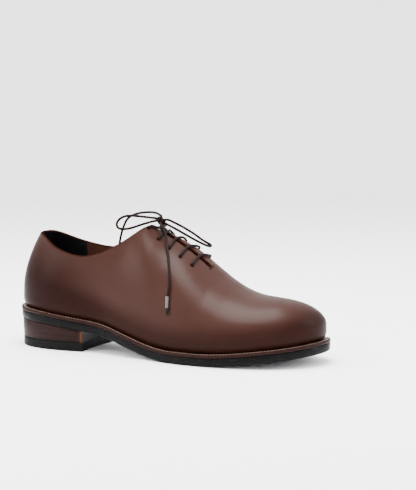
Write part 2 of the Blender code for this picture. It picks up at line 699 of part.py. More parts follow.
def tube(name, route, diameter, look, collection, spacing=0.0028, sides_half=2):
    """A round cord along a smooth line through the route's points, with closed ends."""
    line = through(route)
    length = float(np.sum(np.linalg.norm(np.diff(line(np.linspace(0, 1, 200)), axis=0), axis=1)))
    count = max(5, int(length / spacing) + 1)
    curve = bpy.data.curves.new(name, "CURVE")
    curve.dimensions = "3D"
    curve.bevel_depth = diameter / 2
    curve.bevel_resolution = sides_half
    curve.use_fill_caps = True
    spline = curve.splines.new("POLY")
    spline.points.add(count - 1)
    for point, place in zip(spline.points, line(np.linspace(0, 1, count))):
        point.co = (*place, 1.0)
    curve.materials.append(look)
    thing = bpy.data.objects.new(name, curve)
    collection.objects.link(thing)
    return thing


def bar_route(pair, lift, crown=None):
    """From the lateral eyelet over the leather and the gap into the medial one; a crown lifts the middle."""
    (left, left_up), (right, right_up) = pair
    half = THROAT_GAP / 2
    route = [left - left_up * WALL * 0.3, left + left_up * lift * 0.75]
    for share in (0.25, 0.6):
        y = left[1] + (throat_middle() - half - left[1]) * share
        place, up = place_on_upper(0, left[0], y)
        route.append(place + up * lift)
    back = []
    for share in (0.25, 0.6):
        y = right[1] + (throat_middle() + half - right[1]) * share
        place, up = place_on_upper(1, right[0], y)
        back.append(place + up * lift)
    edges = [place_on_upper(side, left[0], throat_middle() + hand * half) for side, hand in ((0, -1), (1, 1))]
    middle = (edges[0][0] + edges[1][0]) / 2 + (edges[0][1] + edges[1][1]) / 2 * lift
    route.append(middle if crown is None else crown)
    return route + back[::-1] + [right + right_up * lift * 0.75, right - right_up * WALL * 0.3]


def make_bars(look, collection):
    """The lace's straight bars over the throat; the top one rises to the knot."""
    lift = LACE / 2 + LACE_CLEARANCE
    for k, pair in enumerate(eyelets()):
        crown = None
        if k == 0:
            crown = np.array(KNOT_CENTRE) - (0, 0, KNOT_RADII[2] + LACE / 2 + SEAT_GAP)
        tube("lace_bar_%d" % (k + 1), bar_route(pair, lift, crown), LACE, look, collection, spacing=0.0024)


def make_knot(look, collection):
    """The bow's knot as one plain closed form."""
    shape = bmesh.new()
    bmesh.ops.create_uvsphere(shape, u_segments=14, v_segments=9, radius=1)
    bmesh.ops.scale(shape, vec=KNOT_RADII, verts=shape.verts)
    mesh = bpy.data.meshes.new("lace_knot")
    shape.to_mesh(mesh)
    shape.free()
    mesh.materials.append(look)
    mesh.shade_smooth()
    knot = bpy.data.objects.new("lace_knot", mesh)
    knot.location = KNOT_CENTRE
    knot.rotation_euler = (0, 0, math.radians(KNOT_TURN))
    collection.objects.link(knot)


def make_bow(look, tip_look, collection):
    """The bow's free lengths: two loops and two ends, each end in its aglet."""
    for name, route in LACE_ROUTES.items():
        tube(name, route, LACE, look, collection, spacing=0.0048)
    for name, (start, end) in AGLETS.items():
        tube(name, [start, tuple((np.array(start) + end) / 2), end], AGLET, tip_look, collection, spacing=0.008)


def main():
    for thing in list(bpy.data.objects):
        bpy.data.objects.remove(thing)
    parts = bpy.data.collections.new("oxford_shoe")
    cutters = bpy.data.collections.new("cutters")
    bpy.context.scene.collection.children.link(parts)
    bpy.context.scene.collection.children.link(cutters)
    calf = material("upper", (0.16, 0.075, 0.055), 0.38)
    black_edge = material("outsole", (0.02, 0.02, 0.022), 0.45)
    welt_edge = material("welt", (0.10, 0.045, 0.035), 0.5)
    stacked = material("heel_stack", (0.09, 0.042, 0.034), 0.45)
    rubber = material("top_lift", (0.018, 0.018, 0.02), 0.6)
    lining = material("insole", (0.20, 0.10, 0.06), 0.6)
    tongue = material("tongue", (0.15, 0.07, 0.05), 0.45)
    waxed = material("lace", (0.05, 0.025, 0.02), 0.5)
    tip = material("aglet", (0.25, 0.24, 0.24), 0.35, 0.6)
    make_outsole(black_edge, parts)
    make_welt(welt_edge, parts)
    make_heel(stacked, rubber, parts)
    make_insole(lining, parts)
    make_upper(calf, parts, cutters)
    make_tongue(tongue, parts)
    make_bars(waxed, parts)
    make_knot(waxed, parts)
    make_bow(waxed, tip, parts)


main()
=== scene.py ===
"""Looks of a whole cut oxford, right shoe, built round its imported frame. Metres, +Z up, +X to the toe."""
import json
import math

import bmesh
import bpy
import numpy as np
from bpy.props import FloatProperty, FloatVectorProperty, PointerProperty
from mathutils import Matrix, Vector
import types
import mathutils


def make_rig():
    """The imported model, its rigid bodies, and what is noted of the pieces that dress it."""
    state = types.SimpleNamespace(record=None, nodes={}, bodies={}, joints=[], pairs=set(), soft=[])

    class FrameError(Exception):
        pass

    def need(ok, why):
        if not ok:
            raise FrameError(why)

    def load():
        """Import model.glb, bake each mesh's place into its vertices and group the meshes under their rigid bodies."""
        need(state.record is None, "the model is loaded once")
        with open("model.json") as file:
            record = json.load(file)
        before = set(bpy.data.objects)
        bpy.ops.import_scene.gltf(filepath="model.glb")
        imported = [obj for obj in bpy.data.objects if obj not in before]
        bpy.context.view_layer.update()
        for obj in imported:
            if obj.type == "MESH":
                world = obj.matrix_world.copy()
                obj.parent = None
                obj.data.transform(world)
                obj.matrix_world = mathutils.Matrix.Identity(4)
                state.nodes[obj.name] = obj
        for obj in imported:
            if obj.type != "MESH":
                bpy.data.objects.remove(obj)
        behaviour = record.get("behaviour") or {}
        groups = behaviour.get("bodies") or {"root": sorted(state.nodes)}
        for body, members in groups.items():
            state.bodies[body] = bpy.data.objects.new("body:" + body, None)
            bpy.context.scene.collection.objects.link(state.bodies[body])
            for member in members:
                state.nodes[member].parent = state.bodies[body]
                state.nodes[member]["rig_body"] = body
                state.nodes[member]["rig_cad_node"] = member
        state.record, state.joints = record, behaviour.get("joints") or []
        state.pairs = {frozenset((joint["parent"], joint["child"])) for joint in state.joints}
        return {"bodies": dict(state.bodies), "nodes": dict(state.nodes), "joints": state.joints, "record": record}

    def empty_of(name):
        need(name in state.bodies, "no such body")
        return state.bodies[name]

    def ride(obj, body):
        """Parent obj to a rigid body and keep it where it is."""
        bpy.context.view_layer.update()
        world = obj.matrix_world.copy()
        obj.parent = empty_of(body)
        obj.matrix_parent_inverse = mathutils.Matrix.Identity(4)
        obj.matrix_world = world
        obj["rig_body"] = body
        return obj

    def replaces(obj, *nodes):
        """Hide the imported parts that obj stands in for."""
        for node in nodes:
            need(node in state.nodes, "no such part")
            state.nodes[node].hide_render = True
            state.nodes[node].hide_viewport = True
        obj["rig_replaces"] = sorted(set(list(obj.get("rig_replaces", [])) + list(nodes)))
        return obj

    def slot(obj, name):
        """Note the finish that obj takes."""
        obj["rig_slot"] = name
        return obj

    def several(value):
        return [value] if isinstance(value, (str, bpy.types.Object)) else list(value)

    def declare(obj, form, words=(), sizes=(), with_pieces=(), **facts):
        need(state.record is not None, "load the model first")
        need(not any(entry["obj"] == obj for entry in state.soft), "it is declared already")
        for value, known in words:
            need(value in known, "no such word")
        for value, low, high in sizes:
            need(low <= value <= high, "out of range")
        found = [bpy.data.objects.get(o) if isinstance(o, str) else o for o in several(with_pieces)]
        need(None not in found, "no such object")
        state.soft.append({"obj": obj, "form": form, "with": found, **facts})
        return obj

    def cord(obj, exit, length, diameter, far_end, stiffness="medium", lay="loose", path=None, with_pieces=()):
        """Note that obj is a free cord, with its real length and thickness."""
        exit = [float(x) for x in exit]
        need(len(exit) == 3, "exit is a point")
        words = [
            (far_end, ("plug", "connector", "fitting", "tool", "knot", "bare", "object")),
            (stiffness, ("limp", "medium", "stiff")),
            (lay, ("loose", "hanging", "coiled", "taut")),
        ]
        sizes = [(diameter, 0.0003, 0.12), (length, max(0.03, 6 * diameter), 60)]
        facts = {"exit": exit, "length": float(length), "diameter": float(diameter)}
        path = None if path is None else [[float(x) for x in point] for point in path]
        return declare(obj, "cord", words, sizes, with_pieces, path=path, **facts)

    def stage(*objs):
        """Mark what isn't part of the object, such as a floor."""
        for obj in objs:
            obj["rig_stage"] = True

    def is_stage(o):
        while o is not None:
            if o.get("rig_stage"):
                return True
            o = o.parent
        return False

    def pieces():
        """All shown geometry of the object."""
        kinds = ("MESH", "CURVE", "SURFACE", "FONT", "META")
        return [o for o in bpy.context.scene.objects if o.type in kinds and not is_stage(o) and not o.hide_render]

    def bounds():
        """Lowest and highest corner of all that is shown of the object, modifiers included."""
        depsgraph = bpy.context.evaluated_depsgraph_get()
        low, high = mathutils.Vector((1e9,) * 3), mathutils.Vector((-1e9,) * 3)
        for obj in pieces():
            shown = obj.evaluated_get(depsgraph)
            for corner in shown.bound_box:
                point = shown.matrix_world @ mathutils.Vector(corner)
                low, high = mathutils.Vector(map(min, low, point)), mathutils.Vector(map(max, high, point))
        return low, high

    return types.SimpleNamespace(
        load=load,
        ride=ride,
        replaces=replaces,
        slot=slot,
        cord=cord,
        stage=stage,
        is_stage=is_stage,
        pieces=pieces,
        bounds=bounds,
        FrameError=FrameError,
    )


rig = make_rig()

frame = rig.load()
CAD_BOX = [[float(v) for v in corner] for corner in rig.bounds()]

bl_info = {
    "name": "Whole cut oxford",
    "version": (1, 0, 0),
    "blender": (4, 5, 0),
    "location": "View3D > Sidebar > Oxford",
    "description": "Builds the finish of a whole cut oxford round its solid frame",
    "category": "Object",
}

BODY = "root"
UPRIGHT = np.array([0.0, 0.0, 1.0])

# the photo's camera: place, turn and tilt in degrees, focal length and picture height in pixels
CAMERA_PLACE = (0.6683, -1.0958, 0.2337)
CAMERA_TURN = 25.25
CAMERA_TILT = 6.28
CAMERA_FOCAL = 1367.0
PHOTO_HEIGHT = 490.0
SENSOR_HEIGHT = 36.0

# the pale round dish under and behind the shoe, and where the lights aim
STAGE_CENTRE_X = 0.1
STAGE_FLAT_RADIUS = 1.9
STAGE_BEND = 0.7
STAGE_TOP = 1.5
STAGE_AROUND = 96
STAGE_AIM = (0.1, 0, 0.05)

# driving sizes of the sole
SOLE_LENGTH = 0.302
BALL_WIDTH = 0.1036
HEEL_CENTRE = 0.040
OUTSOLE_THICKNESS = 0.0072
WELT_THICKNESS = 0.0030
WELT_SHOWS_AT_HEEL = 0.0046
WELT_SHOWS_AT_TOE = 0.0058
WELT_STRIP = 0.015
SEAT_GAP = 0.0003
HEEL_HEIGHT = 0.0264
TOE_SPRING = 0.0108
OUTSOLE_INSET = 0.0004

# driving sizes of the heel
HEEL_BREAST = 0.0795
HEEL_INSET = 0.0012
HEEL_TAPER = 0.0006
TOP_LIFT_THICKNESS = 0.0082
BREAST_HOLLOW = 0.0025

# driving sizes of the upper
UPPER_HEIGHT = 0.0693
WALL = 0.0024
THROAT_GAP = 0.0058
THROAT_END = 0.645
THROAT_END_ROUND = 0.004
EYELET_BORE = 0.0036
EYELET_PAIRS = 5
EYELET_LAST = 0.0130
EYELET_PITCH = 0.0134
EYELET_SETBACK = 0.0136

# driving sizes of the pieces inside
INSOLE_THICKNESS = 0.0035
INSOLE_MARGIN = 0.0012
TONGUE_THICKNESS = 0.0020
TONGUE_GAP = 0.0006
TONGUE_RISE = 0.006
TONGUE_SPAN = 0.36

# driving sizes of the lace
LACE = 0.0023
LACE_CLEARANCE = 0.0004
AGLET = 0.0029
KNOT_CENTRE = (0.1030, 0.0035, 0.1200)
KNOT_RADII = (0.0085, 0.0042, 0.0036)
KNOT_TURN = 47.0

# the lace's free lengths, as places chosen along each
LACE_ROUTES = {
    "lace_loop_back": (
        (0.0966, 0.0010, 0.1224), (0.0851, 0.0005, 0.1232), (0.0762, -0.0030, 0.1240),
        (0.0700, -0.0070, 0.1232), (0.0668, -0.0105, 0.1204), (0.0660, -0.0130, 0.1168),
        (0.0679, -0.0142, 0.1138), (0.0730, -0.0130, 0.1125), (0.0789, -0.0100, 0.1134),
        (0.0867, -0.0066, 0.1162), (0.0969, -0.0037, 0.1194),
    ),
    "lace_loop_front": (
        (0.1098, 0.0102, 0.1193), (0.1165, 0.0152, 0.1150), (0.1220, 0.0192, 0.1110),
        (0.1290, 0.0240, 0.1053), (0.1360, 0.0285, 0.0995), (0.1408, 0.0292, 0.0967),
        (0.1412, 0.0258, 0.0962), (0.1370, 0.0225, 0.0980), (0.1300, 0.0188, 0.1020),
        (0.1220, 0.0150, 0.1070), (0.1155, 0.0108, 0.1115), (0.1079, 0.0056, 0.1166),
    ),
    "lace_end_lateral": (
        (0.1060, -0.0022, 0.1166), (0.1085, -0.0040, 0.1140), (0.1125, -0.0070, 0.1090),
        (0.1176, -0.0140, 0.0998), (0.1229, -0.0219, 0.0904), (0.1270, -0.0288, 0.0816),
        (0.1302, -0.0345, 0.0728), (0.1318, -0.0389, 0.0643), (0.1318, -0.0414, 0.0590),
    ),
    "lace_end_medial": (
        (0.1012, 0.0050, 0.1247), (0.0950, 0.0090, 0.1262), (0.0835, 0.0130, 0.1262),
        (0.0729, 0.0170, 0.1246), (0.0643, 0.0205, 0.1221), (0.0570, 0.0240, 0.1181),
        (0.0521, 0.0272, 0.1128), (0.0486, 0.0298, 0.1076), (0.0456, 0.0316, 0.1010),
        (0.0434, 0.0326, 0.0930), (0.0424, 0.0328, 0.0850), (0.0420, 0.0328, 0.0770),
    ),
}
AGLETS = {
    "aglet_lateral": ((0.1318, -0.0420, 0.0584), (0.1331, -0.0458, 0.0426)),
    "aglet_medial": ((0.0420, 0.0328, 0.0766), (0.0420, 0.0328, 0.0604)),
}

# sole edge seen from above, from the back by the lateral side: shares of SOLE_LENGTH and of BALL_WIDTH
OUTLINE = (
    (0.000, 0.000), (0.035, -0.225), (0.120, -0.338), (0.220, -0.345), (0.310, -0.325),
    (0.400, -0.372), (0.500, -0.424), (0.610, -0.479), (0.710, -0.478), (0.800, -0.442),
    (0.880, -0.366), (0.945, -0.238), (0.986, -0.062), (1.000, 0.110), (0.984, 0.275),
    (0.940, 0.374), (0.880, 0.440), (0.800, 0.496), (0.715, 0.519), (0.630, 0.482),
    (0.520, 0.372), (0.420, 0.282), (0.330, 0.262), (0.230, 0.302), (0.120, 0.326),
    (0.035, 0.220),
)

# underside of the sole: share of SOLE_LENGTH, then of HEEL_HEIGHT behind the ball and TOE_SPRING before it
UNDERSIDE_BACK = (
    (0.00, 1.000), (0.12, 0.915), (0.25, 0.740), (0.33, 0.610), (0.42, 0.345),
    (0.50, 0.105), (0.56, 0.008), (0.585, 0.0),
)
UNDERSIDE_FRONT = (
    (0.680, 0.0), (0.720, 0.055), (0.820, 0.345), (0.920, 0.700), (1.000, 1.000),
)

# the upper's sections, from the welt up to the topline, the throat or the ridge of the vamp
# turn is the share of the way round the side from the back seam to the toe
# top_x and top_y are the upper end, shares of SOLE_LENGTH and BALL_WIDTH; rise is a share of UPPER_HEIGHT
# lean is the upper end's angle from upright in degrees; bulge and bulge_rise are shares of BALL_WIDTH
# side and crown say how full the curve is above the bulge and below the upper end
SECTION_COLUMNS = ("turn", "top_x", "top_y", "rise", "lean", "bulge", "bulge_rise", "side", "crown")
LATERAL_SECTIONS = (
    (0.000, 0.0640, 0.000, 1.000, 31.0, 0.023, 0.150, 0.34, 0.30),
    (0.050, 0.0730, -0.085, 0.996, 29.0, 0.023, 0.150, 0.34, 0.30),
    (0.100, 0.0960, -0.152, 0.972, 24.0, 0.024, 0.150, 0.34, 0.30),
    (0.160, 0.1450, -0.240, 0.887, 14.0, 0.028, 0.155, 0.34, 0.30),
    (0.220, 0.1990, -0.282, 0.832, 8.0, 0.026, 0.160, 0.34, 0.30),
    (0.270, 0.2520, -0.298, 0.822, 7.0, 0.024, 0.160, 0.34, 0.30),
    (0.320, 0.3050, -0.293, 0.880, 8.0, 0.022, 0.160, 0.36, 0.30),
    (0.365, 0.3510, -0.278, 1.000, 12.0, 0.022, 0.160, 0.38, 0.32),
    (0.410, 0.4000, -0.240, 1.178, 19.0, 0.022, 0.160, 0.40, 0.34),
    (0.450, 0.4400, -0.180, 1.360, 32.0, 0.022, 0.155, 0.42, 0.36),
    (0.475, 0.4600, -0.114, 1.432, 46.0, 0.022, 0.150, 0.44, 0.38),
    (0.500, 0.4740, -0.050, 1.412, 60.0, 0.023, 0.145, 0.46, 0.42),
    (0.535, 0.5020, 0.020, 1.360, 70.0, 0.024, 0.140, 0.48, 0.47),
    (0.580, 0.5600, 0.029, 1.248, 72.0, 0.025, 0.130, 0.48, 0.50),
    (0.620, 0.6100, 0.029, 1.105, 73.0, 0.025, 0.122, 0.48, 0.50),
    (0.650, 0.6450, 0.029, 0.988, 75.0, 0.025, 0.118, 0.48, 0.50),
    (0.690, 0.6930, 0.034, 0.847, 79.0, 0.025, 0.115, 0.48, 0.50),
    (0.730, 0.7400, 0.040, 0.730, 83.0, 0.024, 0.115, 0.49, 0.51),
    (0.770, 0.7870, 0.048, 0.646, 86.0, 0.022, 0.115, 0.50, 0.53),
    (0.815, 0.8310, 0.056, 0.602, 88.0, 0.021, 0.115, 0.52, 0.54),
    (0.850, 0.8420, 0.058, 0.592, 89.0, 0.021, 0.116, 0.53, 0.55),
    (1.000, 0.8420, 0.058, 0.592, 88.0, 0.020, 0.118, 0.56, 0.55),
)
MEDIAL_SECTIONS = (
    (0.000, 0.0640, 0.000, 1.000, 31.0, 0.023, 0.150, 0.34, 0.30),
    (0.050, 0.0720, 0.085, 1.004, 29.0, 0.023, 0.150, 0.34, 0.30),
    (0.100, 0.0920, 0.152, 0.985, 24.0, 0.024, 0.150, 0.34, 0.30),
    (0.160, 0.1390, 0.236, 0.912, 14.0, 0.027, 0.155, 0.34, 0.30),
    (0.220, 0.1930, 0.277, 0.872, 8.0, 0.025, 0.160, 0.34, 0.30),
    (0.270, 0.2480, 0.290, 0.866, 8.0, 0.022, 0.160, 0.34, 0.30),
    (0.320, 0.3010, 0.285, 0.915, 9.0, 0.020, 0.160, 0.36, 0.30),
    (0.365, 0.3480, 0.270, 1.028, 12.0, 0.018, 0.160, 0.38, 0.32),
    (0.410, 0.3940, 0.245, 1.190, 18.0, 0.018, 0.160, 0.42, 0.34),
    (0.450, 0.4340, 0.222, 1.312, 32.0, 0.018, 0.160, 0.46, 0.36),
    (0.475, 0.4570, 0.172, 1.388, 52.0, 0.019, 0.155, 0.48, 0.38),
    (0.500, 0.4740, 0.112, 1.400, 78.0, 0.020, 0.150, 0.50, 0.42),
    (0.535, 0.5020, 0.040, 1.362, 101.0, 0.021, 0.140, 0.52, 0.44),
    (0.580, 0.5600, 0.029, 1.248, 108.0, 0.022, 0.130, 0.54, 0.46),
    (0.620, 0.6100, 0.029, 1.105, 107.0, 0.023, 0.122, 0.54, 0.46),
    (0.650, 0.6450, 0.029, 0.988, 105.0, 0.023, 0.118, 0.53, 0.48),
    (0.690, 0.6930, 0.034, 0.847, 101.0, 0.023, 0.115, 0.52, 0.49),
    (0.730, 0.7400, 0.040, 0.730, 97.0, 0.023, 0.115, 0.50, 0.50),
    (0.770, 0.7870, 0.048, 0.646, 94.0, 0.022, 0.115, 0.50, 0.52),
    (0.815, 0.8310, 0.056, 0.602, 92.0, 0.021, 0.115, 0.51, 0.54),
    (0.850, 0.8420, 0.058, 0.592, 91.0, 0.021, 0.116, 0.52, 0.54),
    (1.000, 0.8420, 0.058, 0.592, 88.0, 0.020, 0.118, 0.56, 0.55),
)
THROAT_TURN = 0.650
THROAT_TOP_TURN = 0.49
THROAT_STRAIGHT_TURN = 0.575
THROAT_CORNER = 0.045
POLE_TURN = 0.850
FEATHER_LEAN = 34.0

# share of a section's points below its bulge, and the handles of the arc there, shares of its height
LOW_SHARE = 0.2
FOOT_HANDLE = 0.40
BULGE_HANDLE = 0.45

# leans in degrees between which a section's end turns from square to its side into the ridge's own line
HEADING_LEANS = (40.0, 75.0)
RIDGE_LEANS = (60.0, 75.0)
# turns in which a direction of the outline, and metres in which the ridge's slope, is measured
OUTLINE_STEP = 0.004
RIDGE_STEP = 0.001
# shares of the length between which the welt grows from its width at the heel to that at the toe
WELT_GROWS = (0.25, 0.60)

# where on the upper the eyelets are looked for: turns, rises and how many of each
INSTEP_TURNS = (0.40, 0.75, 240)
INSTEP_RISES = (0.5, 1, 160)
# a lace bar's way over the leather: shares from the eyelet to the gap, how far its end goes into
# the wall and how soon it rises to its lift
BAR_SHARES = (0.25, 0.6)
BAR_SUNK = WALL * 0.3
BAR_RISE = 0.75


class Spline:
    """A smooth cubic through rows of values, with even curvature at each knot."""

    def __init__(self, knots, rows, closed=False):
        self.knots = np.asarray(knots, float)
        self.rows = np.asarray(rows, float)
        count = len(self.knots)
        step = np.diff(self.knots)
        rise = np.diff(self.rows, axis=0) / step[:, None]
        system = np.zeros((count, count))
        target = np.zeros_like(self.rows)
        for i in range(1, count - 1):
            system[i, i - 1:i + 2] = step[i], 2 * (step[i - 1] + step[i]), step[i - 1]
            target[i] = 3 * (step[i] * rise[i - 1] + step[i - 1] * rise[i])
        if closed:
            system[0, -2] = step[0]
            system[0, 0:2] += 2 * (step[-1] + step[0]), step[-1]
            target[0] = 3 * (step[0] * rise[-1] + step[-1] * rise[0])
            system[-1, 0], system[-1, -1] = 1, -1
        else:
            system[0, 0:2] = 2, 1
            target[0] = 3 * rise[0]
            system[-1, -2:] = 1, 2
            target[-1] = 3 * rise[-1]
        self.slopes = np.linalg.solve(system, target)

    def __call__(self, place):
        place = np.clip(np.asarray(place, float), self.knots[0], self.knots[-1])
        index = np.clip(np.searchsorted(self.knots, place, side="right") - 1, 0, len(self.knots) - 2)
        span = self.knots[index + 1] - self.knots[index]
        t = ((place - self.knots[index]) / span)[..., None]
        span = span[..., None]
        start, end = self.rows[index], self.rows[index + 1]
        leave, arrive = self.slopes[index] * span, self.slopes[index + 1] * span
        return ((2 * t ** 3 - 3 * t ** 2 + 1) * start + (t ** 3 - 2 * t ** 2 + t) * leave
                + (3 * t ** 2 - 2 * t ** 3) * end + (t ** 3 - t ** 2) * arrive)


def walked(points):
    """Distance from the first point to each point of a line."""
    return np.concatenate([[0], np.cumsum(np.linalg.norm(np.diff(points, axis=0), axis=1))])


def part_way(value, start, end):
    """How far a value lies from start to end, as 0 to 1."""
    return np.clip((value - start) / (end - start), 0, 1)


def eased_in(share):
    """A share of 0 to 1 with a soft start and end."""
    return share * share * (3 - 2 * share)


def unit(vectors):
    """Rows of vectors brought to length one."""
    return vectors / np.linalg.norm(vectors, axis=1)[:, None]


def through(rows, closed=False):
    """A spline through points, spaced by the distance between them, over 0 to 1."""
    points = np.asarray(rows, float)
    if closed:
        points = np.vstack([points, points[:1]])
    walk = walked(points)
    return Spline(walk / walk[-1], points, closed)


def underside(x):
    """Height of the sole's underside, x measured from the origin."""
    along = (np.asarray(x, float) + HEEL_CENTRE) / SOLE_LENGTH
    back = np.array(UNDERSIDE_BACK)
    front = np.array(UNDERSIDE_FRONT)
    behind = Spline(back[:, 0], back[:, 1:])(along)[..., 0] * HEEL_HEIGHT
    before = Spline(front[:, 0], front[:, 1:])(along)[..., 0] * TOE_SPRING
    height = np.where(along < back[-1, 0], behind, np.where(along > front[0, 0], before, 0.0))
    return np.maximum(height, 0.0)


def welt_top(x):
    return underside(x) + OUTSOLE_THICKNESS + SEAT_GAP + WELT_THICKNESS


def seat(x):
    """Height on which the upper and the insole stand."""
    return welt_top(x) + SEAT_GAP


def sole_outline(count=720):
    """The sole's edge as a closed ring of x, y points, from the back by the lateral side."""
    rows = np.array(OUTLINE) * (SOLE_LENGTH, BALL_WIDTH) - (HEEL_CENTRE, 0.0)
    return through(rows, closed=True)(np.linspace(0, 1, count, endpoint=False))


def inset(ring, distance):
    """A closed ring moved inwards by a distance, which may differ from point to point."""
    ahead = unit(np.roll(ring, -1, axis=0) - np.roll(ring, 1, axis=0))
    inward = np.stack([-ahead[:, 1], ahead[:, 0]], axis=1)
    return ring + inward * np.reshape(distance, (-1, 1))


def feather_ring():
    """The line where the upper meets the welt."""
    ring = sole_outline()
    along = (ring[:, 0] + HEEL_CENTRE) / SOLE_LENGTH
    grown = eased_in(part_way(along, *WELT_GROWS))
    return inset(ring, WELT_SHOWS_AT_HEEL + (WELT_SHOWS_AT_TOE - WELT_SHOWS_AT_HEEL) * grown)


def sides(ring):
    """The lateral and medial halves of a ring, each from its back to its toe."""
    back, toe = int(np.argmin(ring[:, 0])), int(np.argmax(ring[:, 0]))
    ring = np.roll(ring, -back, axis=0)
    toe = (toe - back) % len(ring)
    lateral = ring[:toe + 1]
    medial = np.vstack([ring[toe:], ring[:1]])[::-1]
    return lateral, medial


def half_width(half, x):
    return np.interp(x, half[:, 0], half[:, 1])


def upper_patch(side, turns, rises):
    """Points of the upper's outer face, turns by rises; side 0 is lateral, 1 medial."""
    half = sides(feather_ring())[side]
    walk = walked(half)
    foot = np.stack([np.interp(turns, walk / walk[-1], half[:, k]) for k in (0, 1)], axis=1)
    table = np.array((LATERAL_SECTIONS, MEDIAL_SECTIONS)[side])
    row = dict(zip(SECTION_COLUMNS[1:], Spline(table[:, 0], table[:, 1:])(turns).T))
    top = np.stack([row["top_x"] * SOLE_LENGTH - HEEL_CENTRE, row["top_y"] * BALL_WIDTH], axis=1)
    top[turns >= POLE_TURN] = table[-1, 1] * SOLE_LENGTH - HEEL_CENTRE, table[-1, 2] * BALL_WIDTH
    rise = np.where(turns >= POLE_TURN, table[-1, 3], row["rise"])
    shared = (turns >= THROAT_TURN) & (turns < POLE_TURN)
    ridge = ridge_of(turns)
    top[shared] = ridge[shared, :2] * (SOLE_LENGTH, BALL_WIDTH) - (HEEL_CENTRE, 0.0)
    rise = np.where(shared, ridge[:, 2], rise)
    outward = outward_of(half, walk / walk[-1], turns)
    inward = top - foot
    reach = np.linalg.norm(inward, axis=1)
    inward /= np.maximum(reach, 1e-9)[:, None]
    mix = part_way(row["lean"], *HEADING_LEANS)[:, None]
    heading = unit(-outward * (1 - mix) + inward * mix)
    ridge_slope = slope_of_ridge(top[:, 0]) * part_way(row["lean"], *RIDGE_LEANS)
    lean = np.radians(row["lean"])
    lean = np.where(turns >= POLE_TURN, math.pi / 2, lean)
    tilt = np.where(turns >= POLE_TURN, 0.0, 1.0)
    end = np.column_stack([heading * np.sin(lean)[:, None], np.cos(lean) * tilt])
    end[:, 2] += ridge_slope * end[:, 0]
    end = unit(end)
    base = np.column_stack([foot, seat(foot[:, 0])])
    out3 = np.column_stack([outward, np.zeros(len(turns))])
    below = (row["bulge_rise"] * BALL_WIDTH)[:, None]
    wide = base + out3 * (row["bulge"] * BALL_WIDTH)[:, None] + UPRIGHT * below
    peak = np.column_stack([top, seat(top[:, 0]) + rise * UPPER_HEIGHT])
    start = out3 * math.sin(math.radians(FEATHER_LEAN)) + UPRIGHT * math.cos(math.radians(FEATHER_LEAN))
    climb = (peak - wide)[:, 2]
    spread = np.linalg.norm((peak - wide)[:, :2], axis=1)
    crown = row["crown"] * (climb * np.abs(np.cos(lean)) + spread * np.sin(lean))
    lower = (base, base + start * below * FOOT_HANDLE, wide - UPRIGHT * below * BULGE_HANDLE, wide)
    upper = (wide, wide + UPRIGHT * (row["side"] * climb)[:, None], peak - end * crown[:, None], peak)
    return blend_curves(lower, upper, rises, throat_share(turns, top[:, 0], crown))


def throat_share(turns, x, crown):
    """The share of the upper arc that each section loses to half of the throat's gap."""
    end = THROAT_END * SOLE_LENGTH - HEEL_CENTRE
    half = THROAT_GAP / 2 * np.sqrt(np.clip((end - x) / THROAT_END_ROUND, 0, 1))
    half = half * eased_in(np.clip((turns - THROAT_TOP_TURN) / THROAT_CORNER, 0, 1))
    return np.where(turns < THROAT_TURN, half / (3 * crown), 0.0)


def blend_curves(lower, upper, rises, lost):
    """Two cubic arcs end to end: the one below the bulge, then the one above it."""
    points = []
    for rise in rises:
        if rise < LOW_SHARE:
            arc, t = lower, np.full(len(lost), rise / LOW_SHARE)
        else:
            arc, t = upper, (rise - LOW_SHARE) / (1 - LOW_SHARE) * (1 - lost)
        t = t[:, None]
        weights = (1 - t) ** 3, 3 * t * (1 - t) ** 2, 3 * t * t * (1 - t), t ** 3
        points.append(sum(w * p for w, p in zip(weights, arc)))
    return np.stack(points, axis=1)


def outward_of(half, share, turns):
    """The outward direction of a half outline at each turn."""
    before, beyond = np.maximum(turns - OUTLINE_STEP, 0), np.minimum(turns + OUTLINE_STEP, 1)
    ahead = np.stack([np.interp(beyond, share, half[:, k]) - np.interp(before, share, half[:, k])
                      for k in (0, 1)], axis=1)
    hand = 1 if half[len(half) // 2, 1] < 0 else -1
    outward = np.stack([ahead[:, 1] * hand, -ahead[:, 0] * hand], axis=1)
    outward[turns < OUTLINE_STEP] = -1.0, 0.0
    outward[turns > 1 - OUTLINE_STEP] = 1.0, 0.0
    return unit(outward)


def ridge_of(turns):
    """Ridge of the upper before the throat's end, the same for both sides, at each turn."""
    table = np.array(LATERAL_SECTIONS)
    rows = table[(table[:, 0] >= THROAT_TURN - 0.08) & (table[:, 0] <= POLE_TURN)]
    return Spline(rows[:, 0], rows[:, 1:4])(turns)


def slope_of_ridge(x):
    """How fast the ridge rises along x, at each x."""
    table = np.array(LATERAL_SECTIONS)
    rows = table[(table[:, 0] >= 0.5) & (table[:, 0] <= POLE_TURN)]
    place = rows[:, 1] * SOLE_LENGTH - HEEL_CENTRE
    line = Spline(place, (seat(place) + rows[:, 3] * UPPER_HEIGHT)[:, None])
    return (line(x + RIDGE_STEP) - line(x - RIDGE_STEP))[..., 0] / (2 * RIDGE_STEP)


def every(ring, count):
    return ring[np.round(np.arange(count) * len(ring) / count).astype(int)]


def upper_normals(patch, side):
    """Outward unit normals of a patch."""
    du = np.gradient(patch, axis=0)
    dv = np.gradient(patch, axis=1)
    normal = np.cross(du, dv) * (1 if side == 0 else -1)
    return normal / np.maximum(np.linalg.norm(normal, axis=2), 1e-12)[:, :, None]


def instep_patch(side):
    """A fine grid of the upper's outer face round the throat, with its normals."""
    patch = upper_patch(side, np.linspace(*INSTEP_TURNS), np.linspace(*INSTEP_RISES))
    return patch, upper_normals(patch, side)


